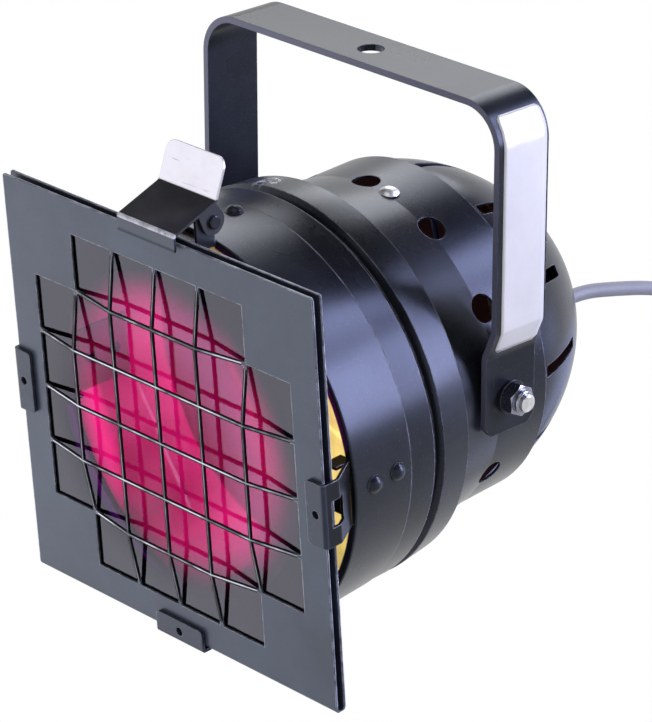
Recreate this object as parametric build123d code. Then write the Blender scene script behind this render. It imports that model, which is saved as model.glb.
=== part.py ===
from build123d import *
import os
from math import atan2, cos, degrees, hypot, pi, radians, sin, sqrt, tan

# Short parabolic spotlight hung from a flat steel yoke. All lengths are in millimetres.
# The yoke hangs from its middle hole, and the centre of that hole's top rim is the origin.
# Every piece of the can is drawn in the can's own frame first: Y runs along the lamp's axis
# from the colour frame's front face towards the rear, Z is up and X is to the right.
# set_in_yoke() then tips that frame about the pivot bolts and hangs it under the yoke.

# Fits and general clearances
seat_gap = 0.3
face_gap = 0.05
running_gap = 0.08
bolt_gap = 0.3
overrun = 2.0

# Sheet of the spun shells
shell_wall = 1.2

# Front barrel, whose waist drives the sizes of the shells, the lamp, the yoke and the colour frame
barrel_waist_radius = 92.4
barrel_flare = 2.0
barrel_end_inset = 1.6
barrel_mouth_radius = barrel_waist_radius + barrel_flare
barrel_end_radius = barrel_waist_radius - barrel_end_inset
rim_y = 21.3
rim_flange_depth = 3.6
rim_round = 1.0
barrel_step_y = 55.5
barrel_step_depth = 0.5
groove_y = 73.0
groove_half_width = 3.0
groove_depth = 3.6
barrel_end_y = 93.1
end_lip_bend = 2.0

# Rear body
body_front_y = 84.6
body_flange_inset = 4.0
body_flange_radius = barrel_waist_radius - body_flange_inset
body_shoulder_y = 94.5
body_shoulder_inset = 3.2
body_shoulder_radius = body_flange_radius - body_shoulder_inset
body_waist_y = 122.0
body_waist_inset = 4.5
body_waist_radius = body_shoulder_radius - body_waist_inset
body_end_y = 151.5
body_end_inset = 0.3
body_end_radius = body_waist_radius - body_end_inset
vent_radius = 6.5
vent_y = 124.4
vent_step_angle = 30.0

# Yoke, a flat strap bent to a U with joggled ears
strap_width = 30.0
strap_thickness = 3.0
ear_body_gap = 3.3
ear_half_span = body_waist_radius + ear_body_gap + strap_thickness
joggle_depth = 5.5
arm_half_span = ear_half_span + joggle_depth
yoke_rise = 44.5
yoke_height = arm_half_span + yoke_rise
joggle_top = 34.5
joggle_bottom = 21.0
ear_drop = 16.0
ear_chamfer = 4.0
strap_bend_radius = 20.0
joggle_bend_radius = 5.0
yoke_hole_radius = 6.0

# How the can sits in the yoke
pivot_y = 121.9
pivot_rise = 4.4
nose_down_angle = 4.0

# Sealed-beam lamp with its reflector, front glass and end prongs
lamp_barrel_gap = 3.5
lamp_radius = barrel_waist_radius - lamp_barrel_gap
lamp_rim_depth = 5.0
lamp_rim_width = 5.0
lamp_glass = 2.0
lens_bulge = 9.0
lens_middle_share = 0.8
reflector_shares = (0, 0.15, 0.3, 0.5, 0.7, 0.85, 1)
reflector_depth = 82.0
reflector_neck_radius = 22.0
neck_length = 14.0
prong_width = 9.0
prong_thickness = 1.6
prong_length = 13.0
prong_spacing = 14.0
filament_wire_radius = 0.9
filament_coil_radius = 3.2
filament_coil_pitch = 3.2
filament_turns = 5
filament_post_radius = 0.8
filament_behind_rim = 52.0
ring_wire_radius = 1.5
ring_arc_angle = 350.0
ring_start_angle = 85.0
lamp_rear_room = 17.0
lamp_length = lamp_rim_depth + reflector_depth + neck_length

# Lamp holder behind the lamp's prongs
socket_length = 22.0
socket_width = 34.0
socket_height = 24.0
socket_corner_radius = 4.0

# Rear cap
cap_inset = 2.4
cap_radius = body_end_radius - cap_inset
dome_flat_y = groove_y + groove_half_width + lamp_length + socket_length + lamp_rear_room
dome_past_flat = 9.5
dome_reach = dome_flat_y - body_end_y + dome_past_flat
cap_skirt = 6.0
cap_skirt_gap = 0.25
dome_power = 1.52
dome_flat_share = 0.436
dome_flat_radius = cap_radius * dome_flat_share
dome_stations = 7
slot_width = 5.6
slot_corner_radius = 1.2
slot_start = 3.5
slot_reach = 30.0
slot_step_angle = 30.0

# Colour frame, one sheet folded in half at the bottom
frame_margin = 3.6
frame_size = 2 * (barrel_mouth_radius + frame_margin)
frame_rise = 1.5
frame_top = frame_size / 2 + frame_rise
frame_depth = 5.5
leaf_thickness = 1.0
frame_corner_radius = 1.2
frame_border = 16.4
grid_count = 6
grid_pitch = (frame_size - 2 * frame_border) / grid_count
bar_width = 1.7
bar_bow = 4.2
bar_root = 0.8
back_window_border = 22.0
back_window_radius = frame_size / 2 - back_window_border
gel_thickness = 0.5
gel_margin = 3.0

# Frame holders, bent from sheet and riveted inside the barrel's mouth
holder_thickness = 1.5
holder_width = 30.0
holder_lip = 11.0
holder_side_gap = 0.4
holder_lip_gap = 0.5
holder_lip_radius = 2.0
holder_hole_radius = 2.0
holder_knee_y = 7.3
holder_leg_end_y = 55.0
holder_bend_radius = 1.8
window_front_y = 2.7
window_depth = 8.3
window_height = 12.5
stop_tab_reach = 8.0
stop_tab_height = 9.0
stop_ear_y = 13.5
stop_ear_reach = 5.5
stop_ear_overlap = 1.6

# Rivets
rivet_ys = (33.0, 47.0)
rivet_head_radius = 4.3
rivet_head_height = 2.8
rivet_shank_radius = 1.6
rivet_tail_radius = 2.6
rivet_tail_height = 0.9

# Catch over the top of the colour frame
pin_y = 19.6
pin_above_frame = 3.7
pin_z = frame_top + pin_above_frame
pin_radius = 2.0
pin_head_radius = 3.1
pin_head_height = 1.4
lever_thickness = 1.2
lever_width = holder_width + 2 * (holder_thickness + seat_gap + lever_thickness)
lever_front_y = -2.8
lever_above_frame = 4.9
lever_front_z = frame_top + lever_above_frame
lever_bend_y = 21.4
lever_rise = 7.6
lever_bend_z = lever_front_z + lever_rise
thumb_lean_angle = 23.0
thumb_reach = 18.5
thumb_corner_radius = 5.0
lever_lip_drop = 7.2
lever_lip_curl = 0.5
lever_ear_radius = 6.0
lever_ear_length = 10.0
lever_bend_radius = 1.5
bracket_ear_radius = 5.0
bracket_front_y = 11.0
bracket_floor_drop = 0.8
bracket_floor_z = barrel_mouth_radius - bracket_floor_drop
spring_wire_radius = 0.5
spring_coil_radius = 3.2
spring_pitch = 1.6
spring_turns = 6
spring_leg = 9.0

# Pivot bolts
bolt_radius = 4.0
bolt_head_radius = 8.0
bolt_head_height = 3.0
washer_radius = 7.8
washer_thickness = 1.6
nut_across_flats = 13.0
nut_height = 5.6
nut_collar_radius = 5.4
nut_collar_height = 2.2
bolt_tip = 2.2
head_round_share = 0.8
nut_bevel_angle = 30.0
spacer_radius = 9.0

# Terminal block and inner leads
block_length = 14.0
block_width = 20.0
block_height = 10.0
block_screw_radius = 2.0
block_screw_height = 1.0
plate_thickness = 1.2
terminal_plate_length = 30.0
terminal_plate_shift = 3.0
terminal_angle = 79.5
terminal_screw_radius = 2.0
terminal_screw_head_radius = 4.6
terminal_screw_head_height = 2.0
terminal_nut_across_flats = 7.0
terminal_nut_height = 3.0
lead_radius = 1.5
lead_bend_radius = 8.0
lead_dome_gap = 4.0
lead_turn_reach = 26.0
core_radius = 1.3
core_spacing = 2.8
core_swing = 26.0
arc_share = 0.45

# Cable gland
gland_hole_radius = 6.0
gland_flange_radius = 10.5
gland_edge_gap = 0.5
gland_z = gland_flange_radius + gland_edge_gap - dome_flat_radius
gland_flange_depth = 5.0
gland_nose_radius = 8.2
gland_nose_depth = 8.0
gland_tail_radius = 5.0
gland_length = 29.0
gland_nut_depth = 4.0

# Mains cord, its coil, the tie and the plug
cord_radius = 3.5
cord_gap = 0.55
coil_inner_radius = 28.5
coil_half_turns_in = 5
coil_lead_angle = 45.0
tie_angle = 38.0
tie_width = 14.0
tie_thickness = 1.3
tie_slack = 1.2
cord_tail = 36.0
plug_relief_length = 24.0
plug_relief_radius = 6.0
plug_body_radius = 18.5
plug_body_length = 34.0
plug_waist_radius = 12.5
plug_face_depth = 4.0
plug_face_gap = 0.5
pin_pair_spacing = 19.0
plug_pin_radius = 2.4
plug_pin_length = 19.0
plug_pin_root = 6.0

# Free route of the cord behind the gland's first run, as (y, z): how far behind the cap's flat end,
# and how far above the pivot bolts' axis, once the can hangs nose down.
# The run before it leaves the gland in line, and the run after it meets the coil.
cord_route = [
    (68.9, -23.2), (95.9, -30.3), (123.9, -41.5), (148.9, -57.0), (167.9, -79.0),
    (177.4, -106.0), (181.9, -133.0), (190.1, -147.6),
]
cord_first_run = 14.0
cord_last_run = 16.0


def lathe(points):
    """Solid of revolution about Y from (radius, y) points."""
    return revolve(make_face(Polyline(*points, close=True)), Axis.Y)


def sheet_wall(outer, wall):
    """Closed (radius, y) outline of a spun wall, given its outer points."""
    inner = [(r - wall, y) for r, y in reversed(outer)]
    return list(outer) + inner


def bar_solid(points, half_width, plane):
    """Prism of a closed outline in the given plane, equal on both sides of it."""
    face = make_face(Polyline(*points, close=True))
    return extrude(plane * face, half_width, both=True)


def strip(points, thickness, width, radius, plane, side=Side.LEFT):
    """Bent sheet: the outline's path is one face, and the sheet lies on one side of it."""
    path = FilletPolyline(*points, radius=radius)
    outline = path.wires()[0].offset_2d(thickness, kind=Kind.INTERSECTION, side=side, closed=True)
    return extrude(plane * make_face(outline), width / 2, both=True)


def rod(radius, start, end):
    """Round bar between two points."""
    a, b = Vector(*start), Vector(*end)
    return Plane(origin=a, z_dir=b - a) * Cylinder(
        radius, (b - a).length, align=(Align.CENTER, Align.CENTER, Align.MIN))


def around_axis(part, angle):
    """Turns a part about the lamp's axis; positive lifts +X towards +Z."""
    return Rotation(0, -angle, 0) * part


def set_in_yoke(part):
    """Moves a part from the can's frame to the hanging object's frame."""
    place = Pos(0, 0, -yoke_height) * Rotation(nose_down_angle, 0, 0) * Pos(0, -pivot_y, -pivot_rise)
    return place * part


def barrel_radius(y):
    """Outer radius of the barrel's tapered front part."""
    share = (y - rim_y) / (barrel_step_y - rim_y)
    return barrel_mouth_radius + share * (barrel_waist_radius + barrel_step_depth - barrel_mouth_radius)


def barrel_slope():
    """Tilt in degrees of the barrel's front wall against the axis."""
    return degrees(atan2(barrel_radius(rim_y) - barrel_radius(barrel_step_y), barrel_step_y - rim_y))


def body_radius(y):
    """Outer radius of the rear body behind its flange."""
    if y < body_shoulder_y:
        start = body_front_y + shell_wall
        share = (y - start) / (body_shoulder_y - start)
        return body_flange_radius + share * (body_shoulder_radius - body_flange_radius)
    if y < body_waist_y:
        share = (y - body_shoulder_y) / (body_waist_y - body_shoulder_y)
        return body_shoulder_radius + share * (body_waist_radius - body_shoulder_radius)
    share = (y - body_waist_y) / (body_end_y - body_waist_y)
    return body_waist_radius + share * (body_end_radius - body_waist_radius)


def dome_radius(y):
    """Outer radius of the rear cap's dome."""
    share = (y - body_end_y) / dome_reach
    return cap_radius * sqrt(1 - share ** dome_power)


def flat_seat(y, half_width, clearance):
    """Distance from the axis of a flat strip that lies inside the barrel's wall."""
    inner = barrel_radius(y) - shell_wall
    return sqrt(inner ** 2 - half_width ** 2) - clearance


def rivet_place(y):
    """Location of a rivet on +X, with its own Z square to the barrel's front wall."""
    return Pos(barrel_radius(y), y, 0) * Rotation(0, 0, barrel_slope()) * Rotation(0, 90, 0)


def rivet_drill(y):
    """Cutter for one rivet hole through the barrel's wall and the leg behind it."""
    depth = 4 * (shell_wall + holder_thickness)
    return rivet_place(y) * Cylinder(rivet_shank_radius, depth)


def make_yoke():
    half, ear = arm_half_span, ear_half_span
    pivot_z = -yoke_height
    left = [(-ear, pivot_z - ear_drop), (-ear, pivot_z + joggle_bottom), (-half, pivot_z + joggle_top)]
    path = left + [(-half, 0), (half, 0)] + [(-x, z) for x, z in reversed(left)]
    radii = [joggle_bend_radius, joggle_bend_radius, strap_bend_radius]
    line = FilletPolyline(*path, radius=radii + radii[::-1])
    outline = line.wires()[0].offset_2d(strap_thickness, kind=Kind.INTERSECTION, side=Side.RIGHT,
                                        closed=True)
    strap = extrude(Plane.XZ * make_face(outline), strap_width / 2, both=True)
    corners = strap.edges().filter_by(Axis.X).group_by(Axis.Z)[0]
    strap = chamfer(corners, ear_chamfer)
    strap -= Pos(0, 0, -strap_thickness / 2) * Cylinder(yoke_hole_radius, strap_thickness + overrun)
    pivot = Pos(0, 0, pivot_z) * Rotation(0, 90, 0)
    return strap - pivot * Cylinder(bolt_radius + running_gap, 2 * half + overrun)


def make_front_barrel():
    step = barrel_waist_radius + barrel_step_depth
    outer = [
        (barrel_radius(rim_y), rim_y),
        (step, barrel_step_y),
        (barrel_waist_radius, barrel_step_y + barrel_step_depth),
        (barrel_waist_radius, groove_y - groove_half_width),
        (barrel_waist_radius - groove_depth, groove_y - groove_half_width / 4),
        (barrel_waist_radius - groove_depth, groove_y + groove_half_width / 4),
        (barrel_waist_radius, groove_y + groove_half_width),
        (barrel_end_radius, barrel_end_y - end_lip_bend / 2),
        (barrel_end_radius - end_lip_bend / 2, barrel_end_y),
    ]
    lip_radius = body_radius(barrel_end_y - shell_wall) + seat_gap
    inner = [
        (lip_radius, barrel_end_y),
        (lip_radius, barrel_end_y - shell_wall),
        (barrel_end_radius - shell_wall, barrel_end_y - shell_wall),
    ]
    inner += [(r - shell_wall, y) for r, y in reversed(outer[1:7])]
    flange_back = rim_y + shell_wall
    flange_radius = barrel_radius(rim_y) - rim_flange_depth
    inner += [(barrel_radius(flange_back) - shell_wall, flange_back), (flange_radius, flange_back),
              (flange_radius, rim_y)]
    barrel = lathe(outer + inner)
    rim_edges = barrel.edges().filter_by(GeomType.CIRCLE).group_by(Axis.Y)[0]
    barrel = fillet(rim_edges.sort_by(SortBy.RADIUS)[-1], rim_round)
    notch_top = flat_seat(rim_y, holder_width / 2, 0)
    notch = Pos(notch_top - rim_flange_depth / 2, rim_y, 0) * Box(
        rim_flange_depth, 4 * shell_wall, holder_width + 2 * seat_gap)
    for angle in (0, 90, 180, 270):
        barrel -= around_axis(notch, angle)
        for y in rivet_ys:
            barrel -= around_axis(rivet_drill(y), angle)
    return barrel


def make_rear_body():
    outer = [
        (body_flange_radius, body_front_y),
        (body_flange_radius, body_front_y + shell_wall),
        (body_shoulder_radius, body_shoulder_y),
        (body_waist_radius, body_waist_y),
        (body_end_radius, body_end_y),
    ]
    body = lathe(sheet_wall(outer, shell_wall))
    vent = Pos(body_waist_radius, vent_y, 0) * Rotation(0, 90, 0) * Cylinder(vent_radius, 8 * shell_wall)
    steps = round(360 / vent_step_angle)
    for i in range(steps):
        angle = i * vent_step_angle
        if angle % 180:
            body -= around_axis(vent, angle)
    bolt_hole = Pos(0, pivot_y, pivot_rise) * Rotation(0, 90, 0)
    body -= bolt_hole * Cylinder(bolt_radius + bolt_gap, 2 * body_flange_radius)
    screw_hole = Pos(body_radius(vent_y), vent_y, 0) * Rotation(0, 90, 0)
    screw_hole *= Cylinder(terminal_screw_radius + seat_gap / 2, 8 * shell_wall)
    return body - around_axis(screw_hole, terminal_angle)


def make_rear_cap():
    ys = [body_end_y + seat_gap + (dome_flat_y - dome_corner() - body_end_y) * i / dome_stations
          for i in range(dome_stations + 1)]
    dome = [(dome_radius(y), y) for y in ys]
    skirt_y = body_end_y - cap_skirt
    skirt_radius = body_end_radius - shell_wall - cap_skirt_gap
    outer_edge = Spline(*dome)
    inner_edge = offset_curve(dome)
    tip, tip_in = (dome_flat_radius, dome_flat_y), (dome_flat_radius, dome_flat_y - shell_wall)
    front = [(skirt_radius, skirt_y), (skirt_radius, body_end_y), dome[0]]
    edges = [
        Polyline(*front), outer_edge, Polyline(dome[-1], tip, (0, dome_flat_y)),
        Line((0, dome_flat_y), (0, dome_flat_y - shell_wall)),
        Polyline((0, dome_flat_y - shell_wall), tip_in, inner_edge[-1]),
        Spline(*inner_edge),
        Polyline(inner_edge[0], (skirt_radius - shell_wall, body_end_y - seat_gap),
                 (skirt_radius - shell_wall, skirt_y), (skirt_radius, skirt_y)),
    ]
    cap = revolve(make_face(edges), Axis.Y)
    cap -= Pos(0, dome_flat_y, gland_z) * Rotation(90, 0, 0) * Cylinder(
        gland_hole_radius + seat_gap, 4 * shell_wall)
    slot = Pos(cap_radius, body_end_y + slot_start + slot_reach / 2, 0) * Rotation(0, 90, 0)
    slot *= extrude(RectangleRounded(slot_width, slot_reach, slot_corner_radius), cap_radius / 2, both=True)
    for i in range(round(360 / slot_step_angle)):
        cap -= around_axis(slot, i * slot_step_angle)
    return cap


def dome_corner():
    """Depth of the rounded corner between the dome and its flat end."""
    return shell_wall * 2


def offset_curve(points):
    """Inner points of the dome, one wall inside the outer ones along the local normal."""
    inner = []
    for i, (r, y) in enumerate(points):
        a, b = points[max(i - 1, 0)], points[min(i + 1, len(points) - 1)]
        dr, dy = b[0] - a[0], b[1] - a[1]
        length = hypot(dr, dy)
        inner.append((r - shell_wall * dy / length, y + shell_wall * dr / length))
    return inner


def bar_outline(half_length):
    """Outline of one bowed bar along its length, as (along, depth) points."""
    ramp = half_length - grid_pitch
    end = half_length + bar_root
    front = [(-end, 0), (-half_length, 0), (-ramp, -bar_bow), (ramp, -bar_bow), (half_length, 0), (end, 0)]
    return front + [(a, d + leaf_thickness) for a, d in reversed(front)]


def make_gel_frame():
    half = frame_size / 2
    fold = [(0, half), (0, -half), (frame_depth, -half), (frame_depth, half)]
    line = FilletPolyline(*fold, radius=frame_depth / 2 - face_gap)
    outline = line.wires()[0].offset_2d(
        leaf_thickness, kind=Kind.INTERSECTION, side=Side.LEFT, closed=True)
    sheet = extrude(Plane.YZ * make_face(outline), half, both=True)
    rounded = extrude(Plane.XZ * RectangleRounded(frame_size, frame_size, frame_corner_radius),
                      -2 * frame_depth, both=True)
    sheet &= rounded
    long_half = grid_pitch * grid_count / 2
    short_half = long_half - grid_pitch
    for width, height in ((short_half, long_half), (long_half, short_half)):
        sheet -= Box(2 * width, frame_depth, 2 * height)
    back = Pos(0, frame_depth, 0) * Rotation(90, 0, 0) * Cylinder(back_window_radius, frame_depth)
    sheet -= back
    for i in range(1 - grid_count // 2, grid_count // 2):
        half_length = short_half if abs(i) == grid_count // 2 - 1 else long_half
        upright = [(d, a) for a, d in bar_outline(half_length)]
        sheet += Pos(i * grid_pitch, 0, 0) * bar_solid(upright, bar_width / 2, Plane.YZ)
        sheet += Pos(0, 0, i * grid_pitch) * bar_solid(bar_outline(half_length), bar_width / 2, Plane.XY)
    return Pos(0, 0, frame_rise) * sheet


def make_gel_sheet():
    side = frame_size - 2 * gel_margin
    bottom = frame_top - frame_size + frame_depth / 2
    y = leaf_thickness + seat_gap + gel_thickness / 2
    height = side - frame_depth / 2
    return Pos(0, y, bottom + height / 2) * Box(side, gel_thickness, height)


def holder_mouth_y():
    """Depth of the bend where a leg turns along the barrel's wall, just in front of the rim."""
    return rim_y - seat_gap


def holder_path(frame_edge):
    """Outer face line of a holder as (x, y): lip, side arm, slanted part and riveted leg."""
    outer = frame_edge + holder_side_gap + holder_thickness
    lip_y = -holder_lip_gap - holder_thickness
    half = holder_width / 2
    mouth = flat_seat(rim_y, half, seat_gap)
    end = flat_seat(holder_leg_end_y, half, seat_gap)
    return [(outer - holder_lip, lip_y), (outer, lip_y), (outer, holder_knee_y),
            (mouth, holder_mouth_y()), (end, holder_leg_end_y)]


def holder_arm_x(path, y):
    """Outer face of a holder's slanted arm at a given depth."""
    (wide, knee), (narrow, mouth) = path[2:4]
    return wide + (narrow - wide) * (y - knee) / (mouth - knee)


def make_frame_holder(angle, frame_edge):
    """Holder turned to its place, for a frame whose edge is this far from the lamp's axis."""
    path = holder_path(frame_edge)
    holder = strip(path, holder_thickness, holder_width, holder_bend_radius, Plane.XY)
    outer = path[1][0]
    lip_corners = [e for e in holder.edges().filter_by(Axis.Y)
                   if e.center().X < outer - holder_lip + face_gap and e.center().Y < 0]
    holder = fillet(lip_corners, holder_lip_radius)
    hole = Pos(outer - holder_lip / 2, 0, 0) * Rotation(90, 0, 0)
    holder -= hole * Cylinder(holder_hole_radius, 6 * holder_thickness)
    window_y = window_front_y + window_depth / 2
    holder -= Pos(outer, window_y, 0) * Box(6 * holder_thickness, window_depth, window_height)
    stop_y = window_front_y + window_depth + holder_thickness / 2 - face_gap
    tab_x = holder_arm_x(path, stop_y + holder_thickness / 2) - holder_thickness / 2 - stop_tab_reach / 2
    holder += Pos(tab_x, stop_y, 0) * Box(stop_tab_reach, holder_thickness, stop_tab_height)
    mouth = path[3][0]
    ear_depth = rim_y + stop_ear_overlap - stop_ear_y
    ear = Pos(mouth - holder_thickness / 2 - stop_ear_reach / 2, stop_ear_y + ear_depth / 2,
              holder_width / 2 - holder_thickness / 2)
    holder += ear * Box(stop_ear_reach + holder_thickness, ear_depth, holder_thickness)
    for y in rivet_ys:
        holder -= rivet_drill(y)
    return around_axis(holder, angle)


def make_catch_bracket():
    """Sheet bracket riveted inside the barrel's top, with two ears that carry the hinge pin."""
    half = holder_width / 2
    mouth = flat_seat(rim_y, half, seat_gap)
    end = flat_seat(holder_leg_end_y, half, seat_gap)
    path = [(bracket_floor_z, bracket_front_y), (mouth, holder_mouth_y()), (end, holder_leg_end_y)]
    leg = strip(path, holder_thickness, holder_width, holder_bend_radius, Plane.XY)
    for y in rivet_ys:
        leg -= rivet_drill(y)
    leg = around_axis(leg, 90)
    underside = lever_underside(bracket_front_y) - seat_gap
    rear = rim_y - seat_gap
    ear = make_face(Polyline(
        (bracket_front_y, bracket_floor_z - holder_thickness), (rear, mouth - holder_thickness / 2),
        (rear, pin_z), (pin_y, pin_z + bracket_ear_radius), (bracket_front_y, underside), close=True))
    ear += Pos(pin_y, pin_z) * Circle(bracket_ear_radius)
    ear -= Pos(pin_y, pin_z) * Circle(pin_radius + running_gap)
    inner = holder_width / 2
    for side in (-1, 1):
        plate = Plane.YZ.offset(side * inner) * ear
        leg += extrude(plate, holder_thickness, dir=(side, 0, 0))
    return leg


def lever_underside(y):
    """Height of the lever plate's underside at a given depth."""
    slope = (lever_bend_z - lever_front_z) / (lever_bend_y - lever_front_y)
    return lever_front_z + slope * (y - lever_front_y) - lever_thickness * hypot(1, slope)


def make_catch_lever():
    lean = radians(thumb_lean_angle)
    tip = (lever_bend_y + thumb_reach * sin(lean), lever_bend_z + thumb_reach * cos(lean))
    lip_bottom = lever_front_z - lever_lip_drop
    path = [(lever_front_y - lever_lip_curl, lip_bottom), (lever_front_y, lip_bottom + 2 * lever_lip_curl),
            (lever_front_y, lever_front_z), (lever_bend_y, lever_bend_z), tip]
    lever = strip(path, lever_thickness, lever_width, lever_bend_radius, Plane.YZ, Side.RIGHT)
    thumb_edges = [e for e in lever.edges() if e.length < 2 * lever_thickness
                   and e.center().Z > tip[1] - lever_thickness and abs(e.center().X) > lever_width / 3]
    lever = fillet(thumb_edges, thumb_corner_radius)
    slope = (lever_bend_z - lever_front_z) / (lever_bend_y - lever_front_y)
    ear_front = lever_bend_y - lever_ear_length
    drop = lever_thickness / 2
    top = [(ear_front, lever_front_z + slope * (ear_front - lever_front_y) - drop),
           (lever_bend_y, lever_bend_z - drop)]
    hull = make_hull(Line(*top).edges() + (Pos(pin_y, pin_z) * Circle(lever_ear_radius)).edges())
    hull -= Pos(pin_y, pin_z) * Circle(pin_radius + face_gap)
    for side in (-1, 1):
        plate = Plane.YZ.offset(side * lever_width / 2) * hull
        lever += extrude(plate, lever_thickness, dir=(-side, 0, 0))
    return lever


def make_catch_pin():
    half = lever_width / 2 + face_gap
    pin = rod(pin_radius, (-half, pin_y, pin_z), (half, pin_y, pin_z))
    for side in (-1, 1):
        head = rod(pin_head_radius, (side * half, pin_y, pin_z),
                   (side * (half + pin_head_height), pin_y, pin_z))
        outer = head.edges().filter_by(GeomType.CIRCLE).sort_by(Axis.X)[-1 if side > 0 else 0]
        pin += fillet(outer, pin_head_height / 2)
    return pin


def make_catch_spring():
    """Torsion spring: a helix round the pin with two legs that reach forward."""
    height = spring_pitch * spring_turns
    coil = Helix(spring_pitch, height, spring_coil_radius)
    coil = Pos(-height / 2, pin_y, pin_z) * Rotation(0, 90, 0) * coil
    start, finish = coil @ 0, coil @ 1
    t_start, t_finish = coil % 0, coil % 1
    first = Line(start - t_start * spring_leg, start)
    last = Line(finish, finish + t_finish * spring_leg)
    profile = Circle(spring_wire_radius)
    turns = sweep(Plane(origin=start, z_dir=t_start) * profile, path=coil, is_frenet=True)
    legs = [sweep(Plane(origin=line @ 0, z_dir=line % 0) * profile, path=line) for line in (first, last)]
    return turns + legs[0] + legs[1]


def make_rivet(y):
    """Domed rivet square to the barrel's front wall, drawn on +X."""
    bore = flat_seat(y, holder_width / 2, seat_gap) - holder_thickness
    length = (barrel_radius(y) - bore) / cos(radians(barrel_slope())) + seat_gap
    ball = (rivet_head_radius ** 2 + rivet_head_height ** 2) / (2 * rivet_head_height)
    head = Pos(0, 0, rivet_head_height - ball) * Sphere(ball)
    head &= Cylinder(rivet_head_radius, rivet_head_height, align=(Align.CENTER, Align.CENTER, Align.MIN))
    shank = Cylinder(rivet_shank_radius - face_gap, length, align=(Align.CENTER, Align.CENTER, Align.MAX))
    tail = Pos(0, 0, -length) * Cylinder(rivet_tail_radius, rivet_tail_height,
                                         align=(Align.CENTER, Align.CENTER, Align.MAX))
    rivet = head + shank + tail
    return rivet_place(y) * Pos(0, 0, face_gap) * rivet


def make_holder_rivets():
    rivets = [around_axis(make_rivet(y), angle) for angle in (0, 90, 180, 270) for y in rivet_ys]
    return Compound(children=rivets)


def mirrored_pair(part):
    """A part on the right and its mirror image on the left."""
    return Compound(children=[part, mirror(part, about=Plane.YZ)])


def spacer_span():
    """Inner and outer x of the spacer between the rear body and the yoke's ear."""
    inner = body_radius(pivot_y - spacer_radius) + seat_gap
    return inner, ear_half_span - strap_thickness - face_gap


def make_pivot_spacers():
    inner, outer = spacer_span()
    ring = rod(spacer_radius, (inner, pivot_y, pivot_rise), (outer, pivot_y, pivot_rise))
    ring -= rod(bolt_radius + face_gap, (inner - overrun, pivot_y, pivot_rise),
                (outer + overrun, pivot_y, pivot_rise))
    return mirrored_pair(ring)


def outer_stack():
    """x of the washer's inner face, the nut's inner face and the bolt's tip."""
    washer = ear_half_span + face_gap
    nut = washer + washer_thickness + face_gap
    tip = nut + nut_height + nut_collar_height + bolt_tip
    return washer, nut, tip


def make_pivot_washers():
    washer, nut, tip = outer_stack()
    ring = rod(washer_radius, (washer, pivot_y, pivot_rise), (nut - face_gap, pivot_y, pivot_rise))
    ring -= rod(bolt_radius + face_gap, (washer - overrun, pivot_y, pivot_rise),
                (nut + overrun, pivot_y, pivot_rise))
    return mirrored_pair(ring)


def make_pivot_bolts():
    washer, nut, tip = outer_stack()
    reach = bolt_head_radius + pivot_rise
    seat = sqrt((body_radius(pivot_y) - shell_wall) ** 2 - reach ** 2) - seat_gap
    shank = rod(bolt_radius, (seat, pivot_y, pivot_rise), (tip, pivot_y, pivot_rise))
    end = shank.edges().filter_by(GeomType.CIRCLE).sort_by(Axis.X)[-1]
    shank = chamfer(end, bolt_radius / 5)
    head = rod(bolt_head_radius, (seat - bolt_head_height, pivot_y, pivot_rise), (seat, pivot_y, pivot_rise))
    crown = head.edges().filter_by(GeomType.CIRCLE).sort_by(Axis.X)[0]
    return mirrored_pair(shank + fillet(crown, bolt_head_height * head_round_share))


def make_pivot_nuts():
    washer, nut, tip = outer_stack()
    flats = RegularPolygon(nut_across_flats / 2, 6, major_radius=False)
    body = extrude(flats, nut_height)
    skirt = nut_across_flats / 2 + nut_height / tan(radians(nut_bevel_angle))
    body &= Cone(skirt, nut_across_flats / 2, nut_height, align=(Align.CENTER, Align.CENTER, Align.MIN))
    collar = Pos(0, 0, nut_height) * Cylinder(nut_collar_radius, nut_collar_height,
                                              align=(Align.CENTER, Align.CENTER, Align.MIN))
    rim = collar.edges().filter_by(GeomType.CIRCLE).sort_by(Axis.Z)[-1]
    body += fillet(rim, nut_collar_height / 2)
    body -= Cylinder(bolt_radius + face_gap, 4 * nut_height)
    return mirrored_pair(Pos(nut, pivot_y, pivot_rise) * Rotation(0, 90, 0) * body)


def lamp_rim_y():
    """Front face of the lamp's rim, resting behind the barrel's inner groove ridge."""
    return groove_y + groove_half_width + face_gap


def lamp_curve(y_back):
    """Outer radius of the parabolic reflector at a distance behind the rim's back face."""
    wide = lamp_radius - lamp_rim_width
    spread = (wide ** 2 - reflector_neck_radius ** 2) / reflector_depth
    return sqrt(wide ** 2 - spread * y_back)


def make_lamp_reflector():
    rim = lamp_rim_y()
    back = rim + lamp_rim_depth
    stations = [reflector_depth * s for s in reflector_shares]
    outer = [(lamp_curve(s), back + s) for s in stations]
    inner = [(r - lamp_glass, y - lamp_glass * (1 - r / lamp_radius)) for r, y in outer]
    neck_y = back + reflector_depth + neck_length
    lens_seat = rim + lamp_rim_depth / 2
    edges = [
        Polyline((inner[0][0], lens_seat), (lamp_radius, lens_seat), (lamp_radius, back), outer[0]),
        Spline(*outer),
        Polyline(outer[-1], (reflector_neck_radius, neck_y), (0, neck_y), (0, inner[-1][1]), inner[-1]),
        Spline(*inner),
        Line(inner[0], (inner[0][0], lens_seat)),
    ]
    return revolve(make_face(edges), Axis.Y)


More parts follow.
